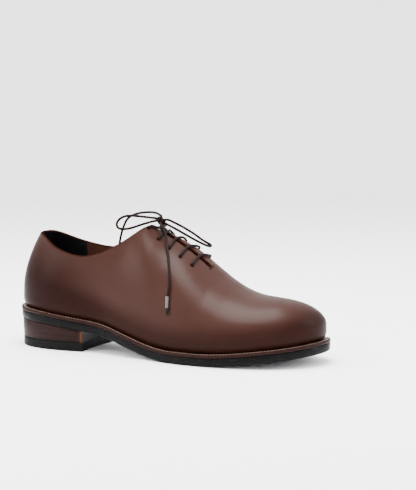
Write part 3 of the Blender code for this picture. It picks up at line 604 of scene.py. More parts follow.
def place_on_upper(side, x, y):
    """The point and the normal of the upper's outer face over a place in plan."""
    patch, normal = instep_patch(side)
    miss = np.hypot(patch[:, :, 0] - x, patch[:, :, 1] - y)
    i, j = np.unravel_index(np.argmin(miss), miss.shape)
    return patch[i, j], normal[i, j]


def place_by_throat(side, up, reach):
    """The point and the normal at a distance up the throat's line and a reach away from it."""
    patch, normal = instep_patch(side)
    low, high = (ridge_point(turn) for turn in (THROAT_TURN, THROAT_STRAIGHT_TURN))
    line = (high - low) / np.linalg.norm(high - low)
    offset = patch - low
    along = offset @ line
    away = np.linalg.norm(offset - along[:, :, None] * line, axis=2)
    miss = np.hypot(along - up, away - reach)
    i, j = np.unravel_index(np.argmin(miss), miss.shape)
    return patch[i, j], normal[i, j]


def ridge_point(turn):
    x, y, rise = ridge_of(turn) * (SOLE_LENGTH, BALL_WIDTH, UPPER_HEIGHT) - (HEEL_CENTRE, 0, 0)
    return np.array([x, y, seat(x) + rise])


def throat_middle():
    table = np.array(LATERAL_SECTIONS)
    return table[table[:, 0] == THROAT_TURN][0, 2] * BALL_WIDTH


def eyelets():
    """Pairs of lateral and medial eyelet places, from the top pair down: point and normal of each."""
    reach = THROAT_GAP / 2 + EYELET_SETBACK
    ups = [EYELET_LAST + k * EYELET_PITCH for k in reversed(range(EYELET_PAIRS))]
    return [[place_by_throat(side, up, reach) for side in (0, 1)] for up in ups]


def bar_route(pair, lift, crown=None):
    """From the lateral eyelet over the leather into the medial one; a crown lifts the middle."""
    (left, left_up), (right, right_up) = pair
    half = THROAT_GAP / 2
    route = [left - left_up * BAR_SUNK, left + left_up * lift * BAR_RISE]
    for share in BAR_SHARES:
        y = left[1] + (throat_middle() - half - left[1]) * share
        place, up = place_on_upper(0, left[0], y)
        route.append(place + up * lift)
    back = []
    for share in BAR_SHARES:
        y = right[1] + (throat_middle() + half - right[1]) * share
        place, up = place_on_upper(1, right[0], y)
        back.append(place + up * lift)
    near = place_on_upper(0, left[0], throat_middle() - half)
    far = place_on_upper(1, left[0], throat_middle() + half)
    middle = (near[0] + far[0]) / 2 + (near[1] + far[1]) / 2 * lift
    route.append(middle if crown is None else crown)
    return route + back[::-1] + [right + right_up * lift * BAR_RISE, right - right_up * BAR_SUNK]


# how finely the finished pieces are cut
SKIN_TURNS = 230
SKIN_RISES = 66
SKIN_BEHIND_THROAT = 0.62
SKIN_TIGHT = (0.0003, 0.0008, 0.0016, 0.0028, 0.0045)
EDGE_STEPS = 560
FINE_OUTLINE = 1440
PLATE_ROWS = 150
PLATE_COLUMNS = 13
CORD_POINTS = 900
CORD_AROUND = 20
KNOT_SPACING = 0.0005
EYELET_AROUND = 20
AGLET_AROUND = 28
STITCH_POINTS = 900

# how the fold and the crown of the upper are smoothed, in turns, metres and rounds
EASE_REACH = 0.030
EASE_TURNS = ((0.26, 0.34), (0.60, 0.55))
EASE_RISES = (0.97, 0.83)
RELAX_FROM = (0.182, 0.040)
RELAX_ROUNDS = 14

# how deep threads lie in the leather, and a stitch's length against its pitch
THREAD_SUNK = 0.00012
FINE_STITCH = 0.68
WELT_STITCH = 0.72

# the bar tack: before the throat's end, its places across as shares of its reach, how high it lies,
# its thickness and how far each wind of thread stands out
TACK_AHEAD = 0.0018
TACK_PLACES = (-1.0, -0.45, 0.45, 1.0)
TACK_LIFT = 0.0002
TACK_THICKNESS = 0.0013
TACK_WIND = 0.14

# the topline's bead and rows: rises searched for the edge, points skipped, spacing and sides of the bead
EDGE_RISES = (0.80, 1, 41)
BEAD_SKIP = 3
BEAD_SPACING = 0.0012
BEAD_AROUND = 14

# the back seam: turns and rises of the rows, points skipped, how far its strip stands in, its thickness
SEAM_TURNS = (0.0, 0.012, 0.024, 0.04)
SEAM_RISES = (0.02, 0.995, 70)
SEAM_SKIP = 4
SEAM_IN = (0.0004, 0, 0)
SEAM_THICKNESS = 0.0011
SEAM_THREAD_LIFT = 0.0001

# the tongue: its turns and rises with their counts, its width against the upper's, and its free end
TONGUE_TURNS = (0.485, 0.675, 90)
TONGUE_RISES = 30
TONGUE_WIDTH = 0.93
TONGUE_END_ROWS = 8
TONGUE_END_ROUND = 0.22

# the knot: turns of its band, its half length, and how high the three strands run in it
KNOT_WINDS = 1.84
KNOT_BAND = 0.26
KNOT_BAND_OUT = 0.80
KNOT_STRANDS = (0.25, -0.15, -0.5)
# how far outside and inside a free length's end its strand is held straight
MOUTH = (0.0003, 0.0016)

# the aglet's tip: its width at the sleeve and how much of it is lost, late, towards the point
TIP_WIDTH = 0.93
TIP_TAPER = 0.28
TIP_POWER = 5

# colours of pieces that have no size in the panel
LINING_BROWN = ((0.026, 0.0090, 0.0055), (0.042, 0.0155, 0.0095))
LINING_BLACK = ((0.0020, 0.0020, 0.0023), (0.0048, 0.0045, 0.0048))
RUBBER = ((0.0024, 0.0024, 0.0026), (0.0085, 0.0080, 0.0080))
BREAST_EDGE = (0.085, 0.024, 0.0075)
INSOLE = (0.045, 0.018, 0.011)
AGLET_SLEEVE = (0.10, 0.095, 0.095)
AGLET_TIP = (0.010, 0.008, 0.0075)
SKY = (0.93, 0.93, 0.95, 1)

# how strongly the dark leather and rubber mirror the pale studio
SHEEN = 0.045


class Socket:
    """One shader value; arithmetic on it adds Math nodes."""

    def __init__(self, kit, link):
        self.kit, self.link = kit, link

    def _math(self, kind, first, second=0.0):
        return self.kit.node("ShaderNodeMath", {"operation": kind}, {0: first, 1: second})

    def __add__(self, other):
        return self._math("ADD", self, other)

    def __sub__(self, other):
        return self._math("SUBTRACT", self, other)

    def __mul__(self, other):
        return self._math("MULTIPLY", self, other)

    def __truediv__(self, other):
        return self._math("DIVIDE", self, other)


class Finish:
    """A material under construction: Principled shader, nodes by type, values as sockets."""

    def __init__(self, name, **fixed):
        self.material = bpy.data.materials.new("oxford_" + name)
        self.material.use_nodes = True
        self.tree = self.material.node_tree
        self.shader = self.tree.nodes["Principled BSDF"]
        fixed.setdefault("Specular_IOR_Level", SHEEN)
        for label, value in fixed.items():
            self.shader.inputs[label.replace("_", " ")].default_value = value

    def node(self, kind, settings, inputs, out=0):
        made = self.tree.nodes.new(kind)
        for label, value in settings.items():
            setattr(made, label, value)
        for slot, value in inputs.items():
            self.feed(made.inputs[slot], value)
        return Socket(self, made.outputs[out])

    def feed(self, socket, value):
        """Links a value into a socket, or sets a plain number or colour on it."""
        if isinstance(value, Socket):
            self.tree.links.new(value.link, socket)
        else:
            socket.default_value = (*value, 1.0) if socket.type == "RGBA" else value

    def place(self, scale=(1, 1, 1)):
        coords = self.node("ShaderNodeTexCoord", {}, {}, "Object")
        if scale == (1, 1, 1):
            return coords
        return self.node("ShaderNodeMapping", {}, {0: coords, "Scale": scale})

    def split(self, vector):
        """The x, y and z of a vector socket."""
        return [self.node("ShaderNodeSeparateXYZ", {}, {0: vector}, axis) for axis in "XYZ"]

    def facing(self, axis):
        """How far the surface faces along axis 0, 1 or 2, as -1 to 1."""
        return self.split(self.node("ShaderNodeNewGeometry", {}, {}, "Normal"))[axis]

    def noise(self, where, scale, detail=3.0, rough=0.5):
        return self.node("ShaderNodeTexNoise", {}, {"Vector": where, "Scale": scale, "Detail": detail,
                                                    "Roughness": rough})

    def cells(self, where, scale):
        return self.node("ShaderNodeTexVoronoi", {}, {"Vector": where, "Scale": scale})

    def ramp(self, value, low, high, floor=0.0, top=1.0):
        """Floor below low, top above high, and a soft step between."""
        return self.node("ShaderNodeMapRange", {"interpolation_type": "SMOOTHSTEP"},
                         {0: value, 1: low, 2: high, 3: floor, 4: top})

    def blend(self, share, first, second):
        """A mix of two colours; 0, 6, 7 and 2 are the Mix node's factor, colours and result."""
        return self.node("ShaderNodeMix", {"data_type": "RGBA"}, {0: share, 6: first, 7: second}, 2)

    def attribute(self, name):
        return self.node("ShaderNodeAttribute", {"attribute_name": name}, {}, "Fac")

    def bump(self, height, depth, strength):
        relief = {"Height": height, "Distance": depth, "Strength": strength}
        self.feed(self.shader.inputs["Normal"], self.node("ShaderNodeBump", {}, relief))

    def colour(self, value):
        self.feed(self.shader.inputs["Base Color"], value)

    def roughness(self, value):
        self.feed(self.shader.inputs["Roughness"], value)


def shaded(base, factor):
    return tuple(channel * factor for channel in base)


def calf_finish(sizes):
    """Smooth brown calf: painted shade low on the sides, burnished at the toe and the heel, with a fine grain."""
    kit = Finish("calf", Roughness=0.4, Specular_IOR_Level=0.035, Coat_Roughness=0.3)
    where = kit.place()
    x = kit.split(where)[0]
    base = tuple(sizes.calf)
    cloud = kit.noise(where, 14.0, 2.0)
    pores = kit.noise(where, 900.0, 2.0, 0.6)
    grain = kit.cells(where, 1500.0)
    low = kit.attribute("above_welt")
    # painted shade: the calf darkens towards its dark colour just above the welt, where the upper curves in under its
    # bulge
    shade_and_burnish = kit.ramp(low, 0.006, 0.034, 1.0, 0.0)
    toe = kit.ramp(x, 0.222, 0.264, 0.0, 0.85)
    heel = kit.ramp(x, -0.015, 0.085, 0.95, 0.0) * kit.ramp(low, 0.024, 0.080, 1.0, 0.3)
    # the dark share: painted shade low on the sides, burnish at the toe and the heel, and random clouds
    dark = shade_and_burnish * 0.8 + toe * 0.7 + heel + (cloud - 0.5) * 0.3
    tone = kit.blend(kit.ramp(dark, 0.0, 1.0), base, tuple(sizes.shade_and_burnish))
    tone = kit.blend(kit.ramp(cloud, 0.35, 0.75, 0.0, 0.16), tone, shaded(base, 1.35))
    tone = kit.blend(kit.ramp(pores, 0.62, 0.85, 0.0, 0.25), tone, tuple(sizes.shade_and_burnish))
    kit.colour(tone)
    kit.feed(kit.shader.inputs["Coat Weight"], kit.ramp(dark, 0.0, 0.8, sizes.polish, sizes.polish * 0.12))
    dull = kit.ramp(cloud, 0.3, 0.8, sizes.calf_roughness - 0.03, sizes.calf_roughness + 0.05)
    kit.roughness(dull + pores * 0.04)
    kit.bump(grain * 0.5 + pores * 0.6 + kit.noise(where, 60.0, 3.0) * 1.6, 0.00009, 0.55)
    return kit.material


def leather_finish(name, base, roughness, sheen=SHEEN):
    """Plain leather with a fine grain and slight clouds."""
    kit = Finish(name, Roughness=roughness, Specular_IOR_Level=sheen)
    where = kit.place()
    cloud = kit.noise(where, 40.0, 3.0)
    cells = kit.cells(where, 700.0)
    kit.colour(kit.blend(cloud, shaded(base, 0.75), shaded(base, 1.25)))
    kit.roughness(kit.ramp(cloud, 0.3, 0.7, roughness - 0.05, roughness + 0.08))
    kit.bump(cells + cloud * 0.6, 0.00012, 0.6)
    return kit.material


def lining_finish(sizes):
    """Lining: black sock lining round the heel, brown calf lining in front."""
    kit = Finish("lining", Roughness=0.6)
    where = kit.place()
    cloud = kit.noise(where, 60.0, 3.0)
    front = kit.ramp(kit.split(where)[0], sizes.lining_joint - 0.0004, sizes.lining_joint + 0.0004)
    kit.colour(kit.blend(front, kit.blend(cloud, *LINING_BLACK), kit.blend(cloud, *LINING_BROWN)))
    kit.bump(kit.cells(where, 900.0) + cloud, 0.00012, 0.5)
    return kit.material


def edge_finish(name, base, roughness, streak=0.35, top=1.0):
    """Waxed sole edge: fine streaks along it, worn a little in places; top scales the colour of what faces up, below
    one as painted shade.
    """
    kit = Finish(name, Roughness=roughness)
    streaks = kit.noise(kit.place((60.0, 60.0, 2600.0)), 1.0, 4.0, 0.6)
    wear = kit.noise(kit.place(), 90.0, 4.0, 0.65)
    tone = kit.blend(kit.ramp(streaks, 0.35, 0.7, 0.0, streak), shaded(base, 0.7), shaded(base, 1.9))
    tone = kit.blend(kit.ramp(wear, 0.62, 0.85, 0.0, 0.2), tone, shaded(base, 2.0))
    # painted shade on the faces that look up, as much as top asks
    kit.colour(kit.blend(kit.ramp(kit.facing(2), 0.55, 0.9), tone, shaded(base, top)))
    kit.roughness(kit.ramp(wear, 0.3, 0.75, roughness - 0.06, roughness + 0.14))
    kit.bump(streaks + wear * 0.7, 0.00016, 0.5)
    return kit.material


def stack_finish(sizes):
    """Stacked leather: layers with dark joints and grain along each, a bright corner and a breast face painted dark as
    shade.
    """
    kit = Finish("heel_stack", Roughness=0.42)
    x, _, z = kit.split(kit.place())
    layer = kit.node("ShaderNodeMath", {"operation": "FRACT"}, {0: z / sizes.lift_layer})
    joint = kit.ramp(kit.node("ShaderNodeMath", {"operation": "ABSOLUTE"}, {0: layer - 0.5}), 0.40, 0.5)
    streaks = kit.noise(kit.place((40.0, 40.0, 1500.0)), 1.0, 5.0, 0.7)
    cloud = kit.noise(kit.place(), 55.0, 3.0)
    base = tuple(sizes.stack)
    tone = kit.blend(kit.ramp(streaks, 0.3, 0.72), shaded(base, 0.45), shaded(base, 1.7))
    tone = kit.blend(kit.ramp(cloud, 0.4, 0.8, 0.0, 0.4), tone, shaded(base, 1.5))
    tone = kit.blend(joint * 0.75, tone, shaded(base, 0.2))
    breast = HEEL_BREAST - HEEL_CENTRE
    corner = kit.ramp(x, breast - 0.0032, breast - 0.0006)
    tone = kit.blend(corner * 0.6, tone, BREAST_EDGE)
    # painted shade: what faces forward, the breast under the arch, is darkened
    kit.colour(kit.blend(kit.ramp(kit.facing(0), 0.80, 0.97), tone, shaded(base, 0.25)))
    kit.roughness(kit.ramp(streaks, 0.3, 0.7, 0.36, 0.55))
    kit.bump(streaks + joint * -1.2, 0.00016, 0.55)
    return kit.material


def rubber_finish(_sizes):
    """Matt black rubber with a little dust."""
    kit = Finish("rubber", Roughness=0.6)
    where = kit.place()
    dust = kit.noise(where, 120.0, 4.0, 0.7)
    kit.colour(kit.blend(kit.ramp(dust, 0.45, 0.8, 0.0, 0.5), *RUBBER))
    kit.roughness(kit.ramp(dust, 0.3, 0.8, 0.48, 0.75))
    kit.bump(kit.noise(where, 1400.0, 2.0) + dust, 0.0001, 0.5)
    return kit.material


def lace_finish(sizes):
    """Round waxed lace: a fine braid that follows the cord, from its own UV map."""
    kit = Finish("lace", Roughness=0.5)
    around, along, _ = kit.split(kit.node("ShaderNodeUVMap", {"uv_map": "braid"}, {}))
    waves = []
    for hand in (1, -1):
        angle = (around * 6.0 + along * (hand / sizes.braid_pitch)) * math.tau
        waves.append(kit.node("ShaderNodeMath", {"operation": "SINE"}, {0: angle}))
    braid = kit.node("ShaderNodeMath", {"operation": "MAXIMUM"}, {0: waves[0], 1: waves[1]})
    base = tuple(sizes.lace)
    kit.colour(kit.blend(kit.ramp(braid, -0.2, 0.9), shaded(base, 0.85), shaded(base, 1.15)))
    kit.bump(braid, 0.00012, 0.7)
    return kit.material


def cloudy_finish(name, base, roughness, scale=300.0, detail=3.0, spread=0.15, **fixed):
    """A colour with slight clouds in it, a spread lighter and darker."""
    kit = Finish(name, Roughness=roughness, **fixed)
    clouds = kit.noise(kit.place(), scale, detail)
    kit.colour(kit.blend(clouds, shaded(base, 1 - spread), shaded(base, 1 + spread)))
    return kit.material


def thread_finish(name, base):
    return cloudy_finish(name, base, 0.55, 500.0, 2.0, 0.4)


def stage_finish(name, base, roughness):
    kit = Finish(name, Roughness=roughness)
    kit.colour(base)
    return kit.material


def finish_of(name):
    return bpy.data.materials["oxford_" + name]


def placed(name, data):
    """A new object in the scene, at the origin."""
    thing = bpy.data.objects.new(name, data)
    bpy.context.scene.collection.objects.link(thing)
    return thing


def mesh_piece(name, points, faces, finishes, weld=1e-6, outward=False):
    """A smooth mesh at the origin, its near points welded and, if asked, its faces turned outwards."""
    shape = bmesh.new()
    corners = [shape.verts.new([float(c) for c in p]) for p in points]
    for face in faces:
        shape.faces.new([corners[k] for k in face])
    bmesh.ops.remove_doubles(shape, verts=shape.verts, dist=weld)
    bmesh.ops.dissolve_degenerate(shape, edges=shape.edges, dist=weld)
    if outward:
        bmesh.ops.recalc_face_normals(shape, faces=shape.faces)
    mesh = bpy.data.meshes.new(name)
    shape.to_mesh(mesh)
    shape.free()
    mesh.shade_smooth()
    for finish in finishes:
        mesh.materials.append(finish_of(finish))
    return placed(name, mesh)


def baked(piece):
    """Works the piece's modifiers into its mesh."""
    bpy.context.view_layer.update()
    graph = bpy.context.evaluated_depsgraph_get()
    mesh = bpy.data.meshes.new_from_object(piece.evaluated_get(graph))
    piece.modifiers.clear()
    piece.data = mesh


def creased_at(mesh, degrees):
    """Smooth shading with edges sharp from an angle."""
    mesh.shade_smooth()
    mesh.set_sharp_from_angle(angle=math.radians(degrees))


def settle(piece, slot, *nodes):
    """Rides the piece on the shoe's body, names its slot and hides the solids it stands for."""
    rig.ride(piece, BODY)
    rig.slot(piece, slot)
    if nodes:
        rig.replaces(piece, *nodes)
    return piece


def grid_faces(rows, columns, first=0, flip=False, closed=False):
    """Four-cornered faces over a grid of points numbered row by row."""
    faces = []
    for i in range(rows if closed else rows - 1):
        for j in range(columns - 1):
            a, b = first + i * columns + j, first + ((i + 1) % rows) * columns + j
            face = (a, b, b + 1, a + 1)
            faces.append(face[::-1] if flip else face)
    return faces


def skin_turns():
    """Turns of the upper's columns, closer together at the throat's end."""
    behind = np.linspace(0, THROAT_TURN, int(SKIN_TURNS * SKIN_BEHIND_THROAT) + 1)
    before = np.linspace(THROAT_TURN, 1, int(SKIN_TURNS * (1 - SKIN_BEHIND_THROAT)) + 1)
    tight = THROAT_TURN - np.array(SKIN_TIGHT)
    return np.unique(np.round(np.concatenate([behind, tight, before]), 6))


def eased(patch, turns, rises):
    """The medial quarter with the fold below the throat's top smoothed along its turns."""
    near = np.exp(-((turns[:, None] - turns[None, :]) / EASE_REACH) ** 2) * np.gradient(turns)[None, :]
    smooth = np.einsum("ij,jkl->ikl", near / near.sum(axis=1)[:, None], patch)
    along = part_way(turns, *EASE_TURNS[0]) * part_way(turns, *EASE_TURNS[1])
    up = part_way(rises, *EASE_RISES)
    share = (along[:, None] * up[None, :])[:, :, None]
    return patch + (smooth - patch) * share


def both_patches(turns, rises):
    lateral, medial = (creased(upper_patch(side, turns, rises), side) for side in (0, 1))
    return [lateral, eased(medial, turns, rises)]


# creases of a shoe that has been tried on: x of the middle, slant across, reach along the shoe, depth;
# they fade out between two heights
CREASE_FADES = (0.035, 0.055)
VAMP_CREASES = (
    (0.166, 0.10, 0.0050, 0.00022),
    (0.178, -0.06, 0.0060, 0.00018),
)


def creased(patch, side):
    """Soft troughs across the vamp, fading down the sides."""
    normal = upper_normals(patch, side)
    depth = np.zeros(patch.shape[:2])
    for x, slant, reach, deep in VAMP_CREASES:
        away = (patch[:, :, 0] - x - slant * patch[:, :, 1]) / reach
        depth += deep * np.exp(-away ** 2) * part_way(patch[:, :, 2], *CREASE_FADES)
    return patch - normal * depth[:, :, None]


def make_upper(_sizes):
    """The one piece upper: outer face, wall with its rim, and lining, with its eyelets cut."""
    turns = skin_turns()
    rises = np.concatenate([np.linspace(0, LOW_SHARE, 9), np.linspace(LOW_SHARE, 1, SKIN_RISES - 8)[1:]])
    points, faces = [], []
    for side, patch in enumerate(both_patches(turns, rises)):
        faces += grid_faces(*patch.shape[:2], first=len(points), flip=bool(side))
        points.extend(patch.reshape(-1, 3))
    piece = mesh_piece("oxford_upper", points, faces, ("calf", "lining"), weld=0.00002)
    relax(piece.data, RELAX_FROM, RELAX_ROUNDS)
    wall = piece.modifiers.new("wall", "SOLIDIFY")
    wall.thickness, wall.offset, wall.use_even_offset = WALL, -1, True
    wall.material_offset, wall.material_offset_rim = 1, 0
    wall.use_rim = True
    baked(piece)
    cutter = eyelet_cutter()
    hole = piece.modifiers.new("eyelets", "BOOLEAN")
    hole.operation, hole.object = "DIFFERENCE", cutter
    baked(piece)
    bpy.data.objects.remove(cutter)
    # height above the seat, which the calf finish reads for its painted shade low on the sides
    above = piece.data.attributes.new("above_welt", "FLOAT", "POINT")
    places = np.empty(len(piece.data.vertices) * 3)
    piece.data.vertices.foreach_get("co", places)
    places = places.reshape(-1, 3)
    above.data.foreach_set("value", places[:, 2] - seat(places[:, 0]))
    creased_at(piece.data, 50)
    return settle(piece, "calf", "upper")


def relax(mesh, corner, rounds):
    """Softens the vamp's crown in front of and above a corner, where the two sides meet."""
    shape = bmesh.new()
    shape.from_mesh(mesh)
    near = [v for v in shape.verts if v.co.x > corner[0] and v.co.z > corner[1]]
    for _ in range(rounds):
        bmesh.ops.smooth_vert(shape, verts=near, factor=0.5, use_axis_x=True, use_axis_y=True,
                              use_axis_z=True)
    shape.to_mesh(mesh)
    shape.free()


def eyelet_cutter():
    """Short round bars through the wall at every eyelet."""
    shape = bmesh.new()
    for pair in eyelets():
        for place, normal in pair:
            turn = Vector(normal).to_track_quat("Z", "Y").to_matrix().to_4x4()
            bmesh.ops.create_cone(shape, cap_ends=True, segments=EYELET_AROUND, radius1=EYELET_BORE / 2,
                                  radius2=EYELET_BORE / 2, depth=WALL * 3.4,
                                  matrix=Matrix.Translation(Vector(place - normal * WALL / 2)) @ turn)
    mesh = bpy.data.meshes.new("eyelet_cutter")
    shape.to_mesh(mesh)
    shape.free()
    mesh.materials.append(finish_of("calf"))
    return placed("eyelet_cutter", mesh)


def edge_rails(outline, profile):
    """Rings of points for an edge profile: pairs of inset and height function."""
    rails = []
    for distance, height in profile:
        ring = every(inset(outline, distance), EDGE_STEPS)
        rails.append(np.column_stack([ring, height(ring[:, 0])]))
    return np.stack(rails, axis=1)


def ring_piece(name, profile, finish, slot, *nodes):
    """A strip all round the sole, closed on itself, from its profile's rails."""
    rails = edge_rails(sole_outline(FINE_OUTLINE), profile + profile[:1])
    faces = grid_faces(rails.shape[0], rails.shape[1], closed=True)
    piece = mesh_piece(name, rails.reshape(-1, 3), faces, (finish,), outward=True)
    creased_at(piece.data, 55)
    return settle(piece, slot, *nodes)


def lifted(rise):
    """A height that follows the sole's underside, a rise above it."""
    return lambda x: underside(x) + rise


def flat(height):
    """A height that is the same everywhere."""
    return lambda x: 0 * x + height


def make_welt(sizes):
    """Welt: a strip with a rounded outer edge and a shallow stitch groove on top."""
    low = OUTSOLE_THICKNESS + SEAT_GAP
    high = low + WELT_THICKNESS
    groove = sizes.groove
    # pairs of inset from the edge and height, from the foot of the outer edge round to the inner one
    profile = [
        (0.0007, lifted(low)), (0.0002, lifted(low + 0.0004)), (0.0, lifted(low + 0.0012)),
        (0.0, lifted(high - 0.0009)), (0.00025, lifted(high - 0.0003)), (0.0008, lifted(high)),
        (groove - 0.0007, lifted(high)), (groove, lifted(high - 0.00045)), (groove + 0.0007, lifted(high)),
        (WELT_STRIP, lifted(high)), (WELT_STRIP, lifted(low)),
    ]
    return ring_piece("oxford_welt", profile, "welt", "welt", "welt")


def rounded_plate(name, rings, heights, finish, slot, node, last=None, hollow=0.0):
    """A plate whose edge follows several rings from its foot up; last cuts it off at an x, hollowed."""
    levels = []
    for ring, height in zip(rings, heights):
        lateral, medial = sides(ring)
        start = lateral[0, 0]
        end = lateral[-1, 0] if last is None else last
        angle = np.linspace(0, math.pi if last is None else math.pi / 2, PLATE_ROWS)
        along = start + (end - start) * ((1 - np.cos(angle)) / 2 if last is None else 1 - np.cos(angle))
        left, right = half_width(lateral, along), half_width(medial, along)
        if last is None:
            right[-1] = left[-1]
        right[0] = left[0]
        share = np.linspace(0, 1, PLATE_COLUMNS)
        across = left[:, None] * (1 - share) + right[:, None] * share
        depth = np.repeat(along[:, None], len(share), axis=1)
        if hollow:
            part = (along - start) / (end - start)
            depth = depth - hollow * (part[:, None] ** 6) * (1 - (2 * share - 1) ** 2)
        levels.append(np.stack([depth, across, height(depth)], axis=2))
    rows, columns = levels[0].shape[:2]
    size = rows * columns
    points = np.vstack([level.reshape(-1, 3) for level in levels])
    faces = [f[::-1] for f in grid_faces(rows, columns)]
    faces += grid_faces(rows, columns, first=size * (len(levels) - 1))
    rim = [i * columns for i in range(rows)]
    rim += [(rows - 1) * columns + j for j in range(1, columns)]
    rim += [i * columns + columns - 1 for i in range(rows - 2, -1, -1)]
    rim += list(range(columns - 2, 0, -1))
    for level in range(len(levels) - 1):
        for k, a in enumerate(rim):
            b = rim[(k + 1) % len(rim)]
            low, high = level * size, (level + 1) * size
            faces.append((low + a, low + b, high + b, high + a))
    piece = mesh_piece(name, points, faces, (finish,), outward=True)
    creased_at(piece.data, 48)
    return settle(piece, slot, node)


def make_outsole(sizes):
    """The outsole, rounded at the ground and a little at the welt."""
    outline = sole_outline(FINE_OUTLINE)
    round_off = sizes.edge_round
    # pairs of inset and rise, from the ground up
    steps = ((OUTSOLE_INSET + round_off, 0.0), (OUTSOLE_INSET + round_off * 0.3, round_off * 0.4),
             (OUTSOLE_INSET, round_off), (OUTSOLE_INSET, OUTSOLE_THICKNESS - 0.0006),
             (OUTSOLE_INSET + 0.0005, OUTSOLE_THICKNESS))
    rings = [inset(outline, distance) for distance, rise in steps]
    return rounded_plate("oxford_outsole", rings, [lifted(rise) for distance, rise in steps],
                         "outsole_edge", "outsole_edge", "outsole")


def make_heel(_sizes):
    """The top lift on the ground and the stack of leather above it, both with a hollow breast."""
    outline = sole_outline(FINE_OUTLINE)
    breast = HEEL_BREAST - HEEL_CENTRE
    bottom = TOP_LIFT_THICKNESS + SEAT_GAP
    low, high = HEEL_INSET + HEEL_TAPER, HEEL_INSET
    rings = [inset(outline, d) for d in (low + 0.0005, low, low, low + 0.0004)]
    heights = [flat(h) for h in (0.0, 0.0006, TOP_LIFT_THICKNESS - 0.0004, TOP_LIFT_THICKNESS)]
    rounded_plate("oxford_top_lift", rings, heights, "rubber", "top_lift", "top_lift", breast,
                  BREAST_HOLLOW)
    rings = [inset(outline, d) for d in (low + 0.0004, low, high, high + 0.0003)]
    heights = [flat(bottom), flat(bottom + 0.0005), lifted(-SEAT_GAP - 0.0004), lifted(-SEAT_GAP)]
    return rounded_plate("oxford_heel_stack", rings, heights, "heel_stack", "heel_stack", "heel_stack",
                         breast, BREAST_HOLLOW)


def make_insole(_sizes):
    """The insole inside the upper, its top edge rounded."""
    ring = inset(feather_ring(), WALL + INSOLE_MARGIN)
    rings = [ring, ring, inset(ring, 0.0008)]
    heights = [seat, lambda x: seat(x) + INSOLE_THICKNESS - 0.0006, lambda x: seat(x) + INSOLE_THICKNESS]
    return rounded_plate("oxford_insole", rings, heights, "insole", "insole", "insole")


def make_tongue(_sizes):
    """The tongue under the throat: a soft sheet that follows the upper's inner face."""
    turns = np.linspace(*TONGUE_TURNS)
    rises = np.linspace(1 - TONGUE_SPAN, 1, TONGUE_RISES)
    middle = throat_middle()
    depth = WALL + TONGUE_GAP
    rows = []
    for side in (0, 1):
        patch = upper_patch(side, turns, rises)
        inner = patch - upper_normals(patch, side) * depth
        rows.append(inner if side == 0 else inner[:, ::-1])
    lateral, medial = rows
    crown = (lateral[:, -1:] + medial[:, :1]) / 2
    sheet = np.concatenate([lateral[:, :-1], crown, medial[:, 1:]], axis=1)
    sheet[:, :, 1] = middle + (sheet[:, :, 1] - middle) * TONGUE_WIDTH
    sheet = sheet[::-1]
    last = sheet[-1]
    ahead = unit(last - sheet[-TONGUE_END_ROWS])
    for step in np.linspace(1 / TONGUE_END_ROWS, 1.0, TONGUE_END_ROWS):
        row = last + ahead * TONGUE_RISE * step
        row[:, 1] = middle + (row[:, 1] - middle) * (1 - TONGUE_END_ROUND * step ** 2)
        sheet = np.concatenate([sheet, row[None]], axis=0)
    piece = mesh_piece("oxford_tongue", sheet.reshape(-1, 3), grid_faces(*sheet.shape[:2]), ("tongue",))
    if sum(face.normal.z for face in piece.data.polygons) < 0:
        piece.data.flip_normals()
    wall = piece.modifiers.new("thickness", "SOLIDIFY")
    wall.thickness, wall.offset = TONGUE_THICKNESS, -1
    baked(piece)
    creased_at(piece.data, 50)
    return settle(piece, "tongue", "tongue")


def frames_along(points):
    """Unit tangents and steadily turned side vectors along a line of points."""
    ahead = unit(np.gradient(points, axis=0))
    side = np.cross(ahead[0], UPRIGHT)
    if np.linalg.norm(side) < 0.1:
        side = np.cross(ahead[0], (1.0, 0.0, 0.0))
    sides_along = []
    for direction in ahead:
        side = side - direction * np.dot(side, direction)
        side = side / np.linalg.norm(side)
        sides_along.append(side)
    return ahead, np.array(sides_along)


def dense(route, spacing):
    """Points at an even spacing along the smooth line through a route, and how far along it each lies."""
    fine = through(route)(np.linspace(0, 1, CORD_POINTS))
    travel = walked(fine)
    count = max(6, int(round(travel[-1] / spacing)) + 1)
    steps = np.linspace(0, travel[-1], count)
    return np.column_stack([np.interp(steps, travel, fine[:, k]) for k in range(3)]), steps


